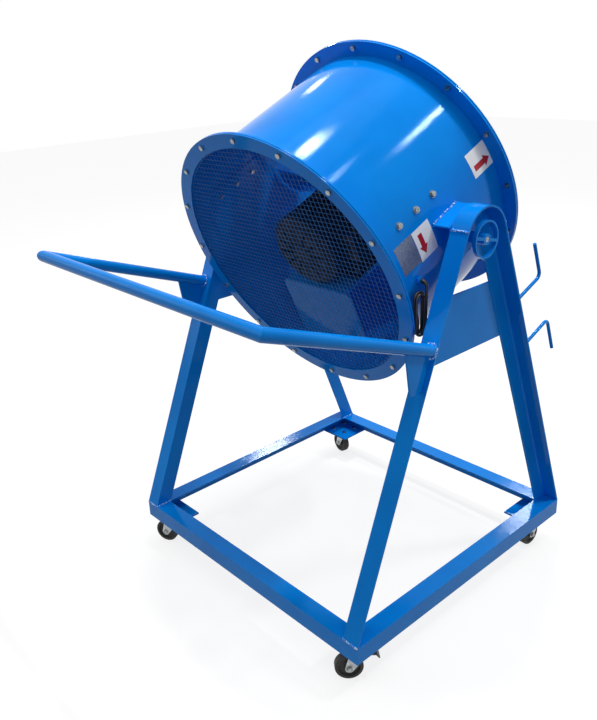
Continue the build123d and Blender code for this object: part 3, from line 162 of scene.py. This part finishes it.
gland_exit = Vector((0.36870, -0.12457, 0.98621))
cable_corner = Vector((0.38365, -0.12404, 0.98507))
hank_x = cable_corner.x
hank_y = cable_corner.y - OUTER_FOLD
first_drop = Vector((hank_x, cable_corner.y, 0.9640))
cable_points = [gland_exit, cable_corner, first_drop]
for number, offset in enumerate(RUNS):
    going_down = number % 2 == 0
    first, last = (HANK_TOP, HANK_BOTTOM) if going_down else (HANK_BOTTOM, HANK_TOP)
    start_x = hank_x - (CABLE_PITCH if number > CLIMBING_RUN else 0)
    end_x = hank_x - (CABLE_PITCH if number >= CLIMBING_RUN else 0)
    if number == CLIMBING_RUN:
        third = (last - first) / 3
        cable_points.append(Vector((start_x, hank_y + offset, first + third)))
        cable_points.append(Vector((end_x, hank_y + offset, last - third)))
    if number + 1 == len(RUNS):
        cable_points.append(Vector((end_x, hank_y + offset, last)))
        continue
    onward = RUNS[number + 1]
    fold_middle = hank_y + (offset + onward) / 2
    fold_radius = (offset - onward) / 2
    crest = -1 if going_down else 1
    for step in range(FOLD_STEPS + 1):
        turn = pi * step / FOLD_STEPS
        spread = 1 if step in (0, FOLD_STEPS) else FOLD_SPREAD
        fold_y = fold_middle + fold_radius * cos(turn) * spread
        fold_z = last + crest * abs(fold_radius) * sin(turn) * spread
        cable_points.append(Vector((end_x, fold_y, fold_z)))
supply_cable = soft_line("supply_cable", cable_points, CABLE / 2, 8)
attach(supply_cable, "drum")
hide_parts("cord_stretch", "cord_hank")

# Bend protector: a soft black sleeve that tapers along the cable's first bend. Its three points
# are those of the cable's own first span.
SLEEVE_ROOT = 0.0062
SLEEVE_TIP = 0.0042
sleeve_points = [gland_exit, cable_corner, (cable_corner + first_drop) / 2]
bend_protector = soft_line("bend_protector", sleeve_points, SLEEVE_ROOT, 12)
for step, knot in enumerate(bend_protector.data.splines[0].points):
    knot.radius = 1 + (SLEEVE_TIP / SLEEVE_ROOT - 1) * step / 2
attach(bend_protector, "drum")

# ---------------------------------------------------------------- studio
# A pale floor that keeps the soft shadow, white surroundings, and a workshop's light: a skylight
# and windows that are broad and soft, and short strip lamps on the ceiling.
FLOOR_HALF = 12
floor_mesh = bpy.data.meshes.new("floor")
floor_shape = bmesh.new()
bmesh.ops.create_grid(floor_shape, x_segments=1, y_segments=1, size=FLOOR_HALF)
floor_shape.to_mesh(floor_mesh)
floor_shape.free()
floor = bpy.data.objects.new("floor", floor_mesh)
bpy.context.scene.collection.objects.link(floor)


def seen_directly(material):
    """1 for the rays that see the surroundings: from the camera, in a mirror or through glass."""
    rays = add_node(material, "ShaderNodeLightPath")
    looked_at = add_node(
        material,
        "ShaderNodeMath",
        settings={"operation": "MAXIMUM"},
        links={0: rays.outputs["Is Camera Ray"], 1: rays.outputs["Is Glossy Ray"]},
    )
    return add_node(
        material,
        "ShaderNodeMath",
        settings={"operation": "MAXIMUM"},
        links={0: looked_at.outputs[0], 1: rays.outputs["Is Transmission Ray"]},
    )


# Matt pale concrete: it gives little light back to the object, and where it is looked at it
# shows white, less the object's own shadow.
FLOOR_GLOW = 0.80
pale_concrete = new_material("pale_concrete")
matt = add_node(pale_concrete, "ShaderNodeBsdfDiffuse", values={"Color": linear("#8E8E8E")})
glow = add_node(
    pale_concrete, "ShaderNodeEmission", values={"Color": (1, 1, 1, 1), "Strength": FLOOR_GLOW}
)
both = add_node(pale_concrete, "ShaderNodeAddShader", links={0: matt.outputs[0], 1: glow.outputs[0]})
finish_material(
    pale_concrete,
    add_node(
        pale_concrete,
        "ShaderNodeMixShader",
        links={0: seen_directly(pale_concrete).outputs[0], 1: matt.outputs[0], 2: both.outputs[0]},
    ),
)
floor_mesh.materials.append(pale_concrete)

# The surroundings are white to look at and light the object from all sides only a little.
AMBIENT = 0.25
world = bpy.data.worlds.new("surroundings")
world.use_nodes = True
world.node_tree.nodes.clear()
ambient, white = (
    add_node(world, "ShaderNodeBackground", values={"Color": (1, 1, 1, 1), "Strength": strength})
    for strength in (AMBIENT, 1)
)
sky = add_node(
    world,
    "ShaderNodeMixShader",
    links={0: seen_directly(world).outputs[0], 1: ambient.outputs[0], 2: white.outputs[0]},
)
add_node(world, "ShaderNodeOutputWorld", links={"Surface": sky.outputs[0]})
bpy.context.scene.world = world


def hang_lamp(name, kind, spot, target, energy):
    """A lamp at the spot that shines at the target, both in metres."""
    lamp_data = bpy.data.lights.new(name, kind)
    lamp_data.energy = energy
    lamp = bpy.data.objects.new(name, lamp_data)
    facing = (Vector(target) - Vector(spot)).to_track_quat("-Z", "Y")
    lamp.matrix_world = Matrix.Translation(spot) @ facing.to_matrix().to_4x4()
    bpy.context.scene.collection.objects.link(lamp)
    return lamp_data


# The broad lights come from far off, so that they fall evenly on the floor: where from, how wide
# in degrees, how strong.
BROAD_LIGHTS = (
    ("skylight", (-0.10, -0.15, 1.00), 55, 0.74),
    ("left_window", (-0.75, -0.62, 0.42), 35, 0.43),
    ("right_window", (0.85, -0.35, 0.42), 35, 0.24),
)
for name, spot, spread, strength in BROAD_LIGHTS:
    hang_lamp(name, "SUN", spot, (0, 0, 0), strength).angle = radians(spread)

# The strips and small windows are what the gloss of the shell and rails shows: place, point lit,
# width, length, watts.
STRIP_LAMPS = (
    ("ceiling_strip", (-0.26, 0.28, 4.20), (-0.26, 0.28, 0), 0.46, 0.12, 45),
    ("rear_strip", (1.75, 1.22, 3.70), (0.1, 0, 1.2), 0.42, 0.10, 32),
    ("side_strip", (1.30, 0.34, 3.97), (0.1, 0, 1.2), 0.16, 0.10, 7.5),
    ("left_strip", (-2.93, 1.66, 3.54), (0, 0, 1.4), 0.10, 0.40, 3),
    ("rear_window", (-2.02, 4.75, 3.40), (0, 0, 0.3), 0.40, 0.24, 15),
    ("far_window", (-4.45, 3.42, 3.08), (0, 0, 0.3), 0.42, 0.26, 18),
)
for name, spot, target, width, length, watts in STRIP_LAMPS:
    strip = hang_lamp(name, "AREA", spot, target, watts)
    strip.shape = "RECTANGLE"
    strip.size = width
    strip.size_y = length
bpy.context.scene.view_settings.view_transform = "Standard"

# ---------------------------------------------------------------- painted steel
# Stand, push handle, hooks, drum, flanges and trunnions: welded mild steel, sprayed as pieces
# with one blue alkyd enamel that hides the steel and takes a high gloss. The gland in the shell
# was sprayed over with them.
PAINTED = (
    ["front_rail", "right_rail", "rear_rail", "left_rail", "corner_plates", "head_straps"]
    + ["leg_front_right", "leg_front_left", "leg_rear_right", "leg_rear_left", "head_plates"]
    + ["side_gussets", "push_handle", "handle_gussets", "upper_cable_hook", "lower_cable_hook"]
    + ["drum_shell", "front_flange", "rear_flange", "front_guard_ring", "rear_guard_ring"]
    + ["trunnion_brackets", "clamping_ring_right", "clamping_ring_left", "motor_cradle"]
    + ["cord_gland"]
)


def dress(names, material):
    """Gives finished solids one material."""
    for name in names:
        slots = bpy.data.objects[name].data.materials
        slots.clear()
        slots.append(material)


# Alkyd enamel: sprayed, so it has a faint orange peel about 4 mm across, a film that is thicker
# and thinner over 20 cm or so, which shifts its tone, and a gloss that dust has dulled in patches
# of 5 cm. Its pigment tints what it mirrors straight on.
alkyd_enamel = new_material("blue_alkyd_enamel")
spot = add_node(alkyd_enamel, "ShaderNodeTexCoord").outputs["Object"]
film = add_node(
    alkyd_enamel,
    "ShaderNodeTexNoise",
    values={"Scale": 5, "Detail": 3},
    links={"Vector": spot},
)
tone = add_node(alkyd_enamel, "ShaderNodeValToRGB", links={"Fac": film.outputs["Fac"]})
tone.color_ramp.elements[0].position = 0.3
tone.color_ramp.elements[0].color = linear("#047FDE")
tone.color_ramp.elements[1].position = 0.7
tone.color_ramp.elements[1].color = linear("#088DEE")
peel = add_node(
    alkyd_enamel,
    "ShaderNodeTexNoise",
    values={"Scale": 260, "Detail": 2},
    links={"Vector": spot},
)
ripple = add_node(
    alkyd_enamel,
    "ShaderNodeBump",
    values={"Strength": 0.4, "Distance": 0.0003},
    links={"Height": peel.outputs["Fac"]},
)
grime = add_node(
    alkyd_enamel,
    "ShaderNodeTexNoise",
    values={"Scale": 22, "Detail": 6},
    links={"Vector": spot},
)
gloss = add_node(
    alkyd_enamel,
    "ShaderNodeMapRange",
    values={"To Min": 0.05, "To Max": 0.12},
    links={"Value": grime.outputs["Fac"]},
)
finish_material(
    alkyd_enamel,
    add_node(
        alkyd_enamel,
        "ShaderNodeBsdfPrincipled",
        values={"Specular IOR Level": 0.1, "Specular Tint": (0.3, 0.65, 1, 1)},
        links={
            "Base Color": tone.outputs["Color"],
            "Roughness": gloss.outputs["Result"],
            "Normal": ripple.outputs["Normal"],
        },
    ),
)
dress(PAINTED, alkyd_enamel)

# ---------------------------------------------------------------- fasteners
# Hexagon bolts, nuts and washers of bright zinc-plated steel: on both flanges, the cradle, the
# motor's feet, the trunnions, the impeller's hub and the casters' plates and axles.
CASTERS = ("front_right", "front_left", "rear_left", "rear_right")
FASTENERS = (
    ["front_flange_bolts", "rear_flange_bolts", "cradle_bolts", "foot_bolts", "pivot_bolts"]
    + ["hub_bolt", "caster_plate_bolts"]
    + [f"caster_axle_{name}" for name in CASTERS]
)


def plated_metal(name, dark, light, roughness_low, roughness_high, grain):
    """Plated or bare metal whose tone and roughness wander in spots grain metres across."""
    metal = new_material(name)
    spot = add_node(metal, "ShaderNodeTexCoord").outputs["Object"]
    spots = add_node(
        metal,
        "ShaderNodeTexNoise",
        values={"Scale": 1 / grain, "Detail": 5},
        links={"Vector": spot},
    )
    tone = add_node(metal, "ShaderNodeValToRGB", links={"Fac": spots.outputs["Fac"]})
    tone.color_ramp.elements[0].position = 0.3
    tone.color_ramp.elements[0].color = linear(dark)
    tone.color_ramp.elements[1].position = 0.7
    tone.color_ramp.elements[1].color = linear(light)
    gloss = add_node(
        metal,
        "ShaderNodeMapRange",
        values={"To Min": roughness_low, "To Max": roughness_high},
        links={"Value": spots.outputs["Fac"]},
    )
    shader = add_node(
        metal,
        "ShaderNodeBsdfPrincipled",
        values={"Metallic": 1},
        links={"Base Color": tone.outputs["Color"], "Roughness": gloss.outputs["Result"]},
    )
    return finish_material(metal, shader)


# Bright zinc plate: a cold grey with a soft mirror, clouded where fingers have touched it.
dress(FASTENERS, plated_metal("bright_zinc_plate", "#6F7476", "#B4B8B6", 0.2, 0.42, 0.006))

# ---------------------------------------------------------------- casters
# Bought-in swivel casters: pressed forks and ball races in zinc plate, moulded wheels with a
# hard black tread, and black moulded brake pedals on the two under the handle.
dress(
    ["caster_plates"] + [f"caster_fork_{name}" for name in CASTERS],
    # Barrel zinc: greyer and more even than on the bolts, with a slight cloudiness.
    plated_metal("barrel_zinc_plate", "#8F9396", "#BFC2C3", 0.3, 0.5, 0.015),
)


def grained_surface(name, dark, light, roughness_low, roughness_high, grain, sheen=0.5):
    """Rubber, plastic or paint with a grain in metres, a dusty haze in 25 mm patches, and a sheen
    that says how strongly it mirrors."""
    surface = new_material(name)
    spot = add_node(surface, "ShaderNodeTexCoord").outputs["Object"]
    haze = add_node(
        surface,
        "ShaderNodeTexNoise",
        values={"Scale": 40, "Detail": 4},
        links={"Vector": spot},
    )
    tone = add_node(surface, "ShaderNodeValToRGB", links={"Fac": haze.outputs["Fac"]})
    tone.color_ramp.elements[0].color = linear(dark)
    tone.color_ramp.elements[1].color = linear(light)
    gloss = add_node(
        surface,
        "ShaderNodeMapRange",
        values={"To Min": roughness_low, "To Max": roughness_high},
        links={"Value": haze.outputs["Fac"]},
    )
    pits = add_node(
        surface,
        "ShaderNodeTexNoise",
        values={"Scale": 1 / grain, "Detail": 2},
        links={"Vector": spot},
    )
    bump = add_node(
        surface,
        "ShaderNodeBump",
        values={"Strength": 0.2, "Distance": 0.0002},
        links={"Height": pits.outputs["Fac"]},
    )
    shader = add_node(
        surface,
        "ShaderNodeBsdfPrincipled",
        values={"Specular IOR Level": sheen},
        links={
            "Base Color": tone.outputs["Color"],
            "Roughness": gloss.outputs["Result"],
            "Normal": bump.outputs["Normal"],
        },
    )
    return finish_material(surface, shader)


# Rubber treads and moulded polyamide pedals: the treads are duller and carry a little floor dust.
dress(
    [f"caster_wheel_{name}" for name in CASTERS],
    grained_surface("black_rubber_tread", "#161616", "#3A3937", 0.55, 0.8, 0.0015),
)
dress(
    ["brake_pedal_front_right", "brake_pedal_front_left"],
    grained_surface("black_polyamide", "#141415", "#262627", 0.35, 0.55, 0.001),
)

# ---------------------------------------------------------------- finger guards
# Welded mesh of galvanised wire at both ends, sprayed with the drum: two layers cross at 14 mm,
# clamped between flange and guard ring. The wires run across the drum and square to that.
TILT = radians(24.5)
AXIS = Vector((0, cos(TILT), sin(TILT)))
UP = Vector((0, -sin(TILT), cos(TILT)))
PIVOT = Vector((0, 0, 1.077))
DRUM_FRAME = Matrix.Translation(PIVOT) @ Matrix((Vector((1, 0, 0)), UP, -AXIS)).transposed().to_4x4()
WIRE = 0.0013
WIRE_PITCH = 0.014
WIRE_SIDES = 6
MESH_RADIUS = 0.3765
HALF_COUNT = int(MESH_RADIUS / WIRE_PITCH)
# Welding sinks the wires into each other by a quarter of their thickness.
LAYER = WIRE * 0.375
MESH_MIDDLES = {"front_mesh": -0.240, "rear_mesh": 0.226}


def place_piece(shape, name, material, body):
    """Turns a finished bmesh into a piece that rides on a body and is finished as a slot."""
    mesh = bpy.data.meshes.new(name)
    shape.to_mesh(mesh)
    shape.free()
    mesh.materials.append(material)
    piece = bpy.data.objects.new(name, mesh)
    bpy.context.scene.collection.objects.link(piece)
    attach(piece, body)
    return piece


# Sprayed wire: galvanised wire under a thin coat of the drum's blue, dull and a little pale where
# the zinc shows through.
sprayed_wire = grained_surface("sprayed_galvanised_wire", "#2668B4", "#4F8FCE", 0.3, 0.45, 0.004, 0.2)
for node, middle in MESH_MIDDLES.items():
    wires = bmesh.new()
    for turned in (False, True):
        for number in range(-HALF_COUNT, HALF_COUNT + 1):
            aside = (number + 0.5) * WIRE_PITCH
            if abs(aside) >= MESH_RADIUS - WIRE_PITCH / 2:
                continue
            level = LAYER if turned else -LAYER
            across = Matrix.Rotation(pi / 2, 4, "Z") if turned else Matrix.Identity(4)
            lying = Matrix.Rotation(pi / 2, 4, "Y")
            bmesh.ops.create_cone(
                wires,
                cap_ends=True,
                segments=WIRE_SIDES,
                radius1=WIRE / 2,
                radius2=WIRE / 2,
                depth=2 * sqrt(MESH_RADIUS**2 - aside**2),
                matrix=DRUM_FRAME
                @ Matrix.Translation((0, 0, level - middle))
                @ across
                @ Matrix.Translation((0, aside, 0))
                @ lying,
            )
    for face in wires.faces:
        face.smooth = len(face.verts) == 4
    guard = place_piece(wires, f"welded_{node}", sprayed_wire, "drum")
    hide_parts(node)

# ---------------------------------------------------------------- motor
# A foot-mounted motor with a finned iron frame under dark enamel, a pressed fan cowl, a moulded
# terminal box on its right side, and the lead that runs to the gland.
dress(
    ["motor_body", "motor_cowl"],
    # Machine enamel: a dark blue-black satin, slightly dusty between the fins.
    grained_surface("dark_machine_enamel", "#030914", "#081426", 0.45, 0.65, 0.003, 0.15),
)
dress(["terminal_box"], grained_surface("black_abs", "#08090C", "#12141A", 0.35, 0.5, 0.001, 0.2))
dress(["motor_lead"], pvc_jacket)

# ---------------------------------------------------------------- impeller
# A turned cast hub on the motor's shaft and eight blades of bent aluminium sheet, sprayed with the
# drum: behind the mesh the photograph shows nothing there but blue. The shaft is ground bright.
dress(["motor_shaft"], plated_metal("ground_steel", "#9A9C9E", "#C6C8CA", 0.18, 0.3, 0.01))
dress(["impeller_hub", "impeller_blades"], alkyd_enamel)

# ---------------------------------------------------------------- labels
# Two white vinyl labels with a red arrow, one for the air's direction and one for the turning
# direction, and a plain anodised plate, all stuck on the right of the shell. They have no words.
SHELL = 0.360
VINYL = 0.0002
# The sheets are cut at every degree, so that they bend with the shell. They end below 22 degrees.
LABEL_CUT = radians(1.0)
LABEL_CUTS = range(1, 22)
# Angle above the right, in degrees, and axial place of each sheet's sides; then its arrow's tail
# and head, as an arc length and an axial place.
LABELS = (
    ("flow", (10.5, 21.0, 0.141, 0.226), (Vector((0.088, 0.152)), Vector((0.088, 0.215)))),
    ("rotation", (0.2, 13.2, -0.122, -0.057), (Vector((0.068, -0.100)), Vector((0.014, -0.100)))),
)
PLATE = (1.0, 13.5, -0.190, -0.1235)
HALF_SHAFT = 0.0075
HALF_HEAD = 0.0150
HEAD_LENGTH = 0.022


def stick_on(shape, thickness):
    """Bends flat shapes drawn as angle above the right and axial place onto the shell, and gives
    them their thickness."""
    for line in LABEL_CUTS:
        bmesh.ops.bisect_plane(
            shape,
            geom=shape.verts[:] + shape.edges[:] + shape.faces[:],
            plane_co=(line * LABEL_CUT, 0, 0),
            plane_no=(1, 0, 0),
        )
    flat_top = bmesh.ops.extrude_face_region(shape, geom=shape.faces[:])
    for vertex in (item for item in flat_top["geom"] if isinstance(item, bmesh.types.BMVert)):
        vertex.co.z += thickness
    for vertex in shape.verts:
        angle, axial, height = vertex.co
        out = Vector((1, 0, 0)) * cos(angle) + UP * sin(angle)
        vertex.co = PIVOT + AXIS * axial + out * (SHELL + height)
    bmesh.ops.recalc_face_normals(shape, faces=shape.faces[:])


def outline(points):
    """One flat face through the points."""
    shape = bmesh.new()
    shape.faces.new([shape.verts.new((*point, 0)) for point in points])
    return shape


def label_sheet(low_angle, high_angle, low_axial, high_axial):
    """A rectangle of the shell, given by its angles in degrees and its axial places."""
    low, high = radians(low_angle), radians(high_angle)
    return outline([(low, low_axial), (high, low_axial), (high, high_axial), (low, high_axial)])


def sticker(name, dark, light, roughness):
    """Calendered vinyl or ink on it: a slight satin gloss, uneven in patches of 11 mm."""
    vinyl = new_material(name)
    spot = add_node(vinyl, "ShaderNodeTexCoord").outputs["Object"]
    haze = add_node(
        vinyl,
        "ShaderNodeTexNoise",
        values={"Scale": 90, "Detail": 3},
        links={"Vector": spot},
    )
    tone = add_node(vinyl, "ShaderNodeValToRGB", links={"Fac": haze.outputs["Fac"]})
    tone.color_ramp.elements[0].color = linear(dark)
    tone.color_ramp.elements[1].color = linear(light)
    shader = add_node(
        vinyl,
        "ShaderNodeBsdfPrincipled",
        values={"Roughness": roughness},
        links={"Base Color": tone.outputs["Color"]},
    )
    return finish_material(vinyl, shader)


white_vinyl = sticker("white_vinyl", "#F1F3F5", "#FCFDFD", 0.35)
red_ink = sticker("red_screen_ink", "#A30D1C", "#BC1324", 0.4)


def block_arrow(tail, head):
    """A straight block arrow from tail to head, its arc lengths taken to angles."""
    along = (head - tail).normalized()
    aside = Vector((-along.y, along.x))
    neck = head - along * HEAD_LENGTH
    points = (
        tail + aside * HALF_SHAFT,
        tail - aside * HALF_SHAFT,
        neck - aside * HALF_SHAFT,
        neck - aside * HALF_HEAD,
        head,
        neck + aside * HALF_HEAD,
        neck + aside * HALF_SHAFT,
    )
    return outline([(point.x / SHELL, point.y) for point in points])


for name, extent, (tail, head) in LABELS:
    sheet = label_sheet(*extent)
    stick_on(sheet, VINYL)
    place_piece(sheet, f"{name}_label", white_vinyl, "drum")
    mark = block_arrow(tail, head)
    for vertex in mark.verts:
        vertex.co.z = VINYL
    stick_on(mark, VINYL / 2)
    place_piece(mark, f"{name}_label_arrow", red_ink, "drum")

plate_sheet = label_sheet(*PLATE)
stick_on(plate_sheet, 2 * VINYL)
place_piece(
    plate_sheet,
    "blank_plate",
    # Brushed and clear-anodised aluminium: a pale cold grey, a little uneven.
    plated_metal("anodised_aluminium", "#626D82", "#848EA0", 0.4, 0.6, 0.004),
    "drum",
)

# ---------------------------------------------------------------- weld beads
# Hand-laid beads under the paint where plates, tubes and angles meet. Each is a row of
# overlapping ripples about 4.5 mm apart, whose middle is just off the corner that it fills.
BEAD = 0.0034
RIPPLE = 1.3 * BEAD
OFF_CORNER = 0.0005


def lay_bead(shape, points):
    """A row of ripples along the points, which may be any polyline."""
    for start, end in zip(points, points[1:]):
        steps = max(1, round((end - start).length / RIPPLE))
        for step in range(steps):
            spot = start.lerp(end, (step + 0.5) / steps)
            swell = 1 + 0.12 * sin(step * 2.4) + 0.08 * sin(step * 1.1 + start.x * 90)
            bmesh.ops.create_uvsphere(
                shape,
                u_segments=8,
                v_segments=5,
                radius=BEAD * swell,
                matrix=Matrix.Translation(spot),
            )


def drum_point(x, up, axial):
    """A point of the drum, in metres: to the right, up square to its axis, and along it."""
    return PIVOT + Vector((x, 0, 0)) + UP * up + AXIS * axial


# Enamel over weld metal: the drum's blue with painted glints, near-white specks about 5 mm apart
# that stand in for the highlights the ripples catch.
weld_enamel_with_painted_glints = new_material("weld_enamel_painted_glints")
spot = add_node(weld_enamel_with_painted_glints, "ShaderNodeTexCoord").outputs["Object"]
painted_glint_specks = add_node(
    weld_enamel_with_painted_glints,
    "ShaderNodeTexNoise",
    values={"Scale": 210, "Detail": 1},
    links={"Vector": spot},
)
tone = add_node(weld_enamel_with_painted_glints, "ShaderNodeValToRGB", links={"Fac": painted_glint_specks.outputs["Fac"]})
tone.color_ramp.elements[0].position = 0.54
tone.color_ramp.elements[0].color = linear("#0888EA")
# The near-white second colour is a painted glint, not the colour of the bead.
tone.color_ramp.elements[1].position = 0.60
tone.color_ramp.elements[1].color = linear("#CFE6FB")
finish_material(
    weld_enamel_with_painted_glints,
    add_node(
        weld_enamel_with_painted_glints,
        "ShaderNodeBsdfPrincipled",
        values={"Roughness": 0.15, "Specular IOR Level": 0.35},
        links={"Base Color": tone.outputs["Color"]},
    ),
)

# Trunnion brackets: a bead along the upper and the lower face of each, where it meets the shell.
BRACKET_ENDS = (-0.049, 0.049)
BRACKET_FACES = (0.0602, 0.0548)
drum_beads = bmesh.new()
for side in (-1, 1):
    for rise in BRACKET_FACES:
        reach = side * (sqrt(SHELL**2 - rise**2) + OFF_CORNER)
        lay_bead(drum_beads, [drum_point(reach, rise, axial) for axial in BRACKET_ENDS])

# Stand: its leading sizes, and the lean of its legs, which touch the round head and the base's edge.

HALF_BASE = 0.4625
ANGLE_LEG = 0.050
LEG_INNER = HALF_BASE - ANGLE_LEG
RAIL_TOP = 0.150
PIVOT_Z = PIVOT.z
HEAD_RADIUS = 0.082
GUSSET_PLATE = 0.005
GUSSET_TOP = 0.942
GUSSET_BOTTOM = 0.782
TUBE = 0.032
HANDLE_Z = PIVOT_Z - 0.234
# The ring of bead round a tube's end stands a little outside the tube, and off the leg.
RING_RADIUS = TUBE / 2 * 1.08
STAND_OFF = 0.001
LEG_RISE = PIVOT_Z - RAIL_TOP
LEAN = atan2(HALF_BASE, LEG_RISE) - asin(HEAD_RADIUS / hypot(HALF_BASE, LEG_RISE))
stand_beads = bmesh.new()
gusset_beads = bmesh.new()


def leg_y(z, depth=0.0):
    """How far a leg's plane, depth inside its outer face, is from the pivot plane at height z."""
    return (HEAD_RADIUS - depth - (z - PIVOT_Z) * sin(LEAN)) / cos(LEAN)


for side in (-1, 1):
    for end in (-1, 1):
        # Foot: along both legs of the angle. Head: where the strap meets the leg.
        foot_y = end * (leg_y(RAIL_TOP) - OFF_CORNER)
        inner_y = end * leg_y(RAIL_TOP, ANGLE_LEG)
        strap_y = end * HEAD_RADIUS * cos(LEAN)
        strap_z = PIVOT_Z + HEAD_RADIUS * sin(LEAN)
        foot_corner = Vector((side * LEG_INNER, foot_y, RAIL_TOP))
        lay_bead(stand_beads, [foot_corner, Vector((side * HALF_BASE, foot_y, RAIL_TOP))])
        lay_bead(stand_beads, [foot_corner, Vector((side * LEG_INNER, inner_y, RAIL_TOP))])
        strap_ends = [Vector((side * x, strap_y, strap_z)) for x in (LEG_INNER, HALF_BASE)]
        lay_bead(stand_beads, strap_ends)
    # Side gusset: a bead along both slanting edges, on its outer face.
    gusset_x = side * (LEG_INNER + GUSSET_PLATE)
    for end in (-1, 1):
        slant = [(gusset_x, end * leg_y(z, ANGLE_LEG), z) for z in (GUSSET_TOP, GUSSET_BOTTOM)]
        lay_bead(gusset_beads, [Vector(point) for point in slant])
    # Handle: a ring of bead where each end of the tube meets its leg, not past the leg's edge.
    ring = []
    for turn in (radians(step * 30) for step in range(13)):
        z = HANDLE_Z + RING_RADIUS * sin(turn)
        x = min(HALF_BASE - TUBE / 2 + RING_RADIUS * cos(turn), HALF_BASE - STAND_OFF)
        ring.append(Vector((side * x, -leg_y(z) - STAND_OFF, z)))
    lay_bead(stand_beads, ring)
for beads in (drum_beads, stand_beads, gusset_beads):
    for face in beads.faces:
        face.smooth = True
place_piece(drum_beads, "drum_weld_beads", weld_enamel_with_painted_glints, "drum")
place_piece(stand_beads, "stand_weld_beads", weld_enamel_with_painted_glints, "stand")
place_piece(gusset_beads, "gusset_weld_beads", alkyd_enamel, "stand")
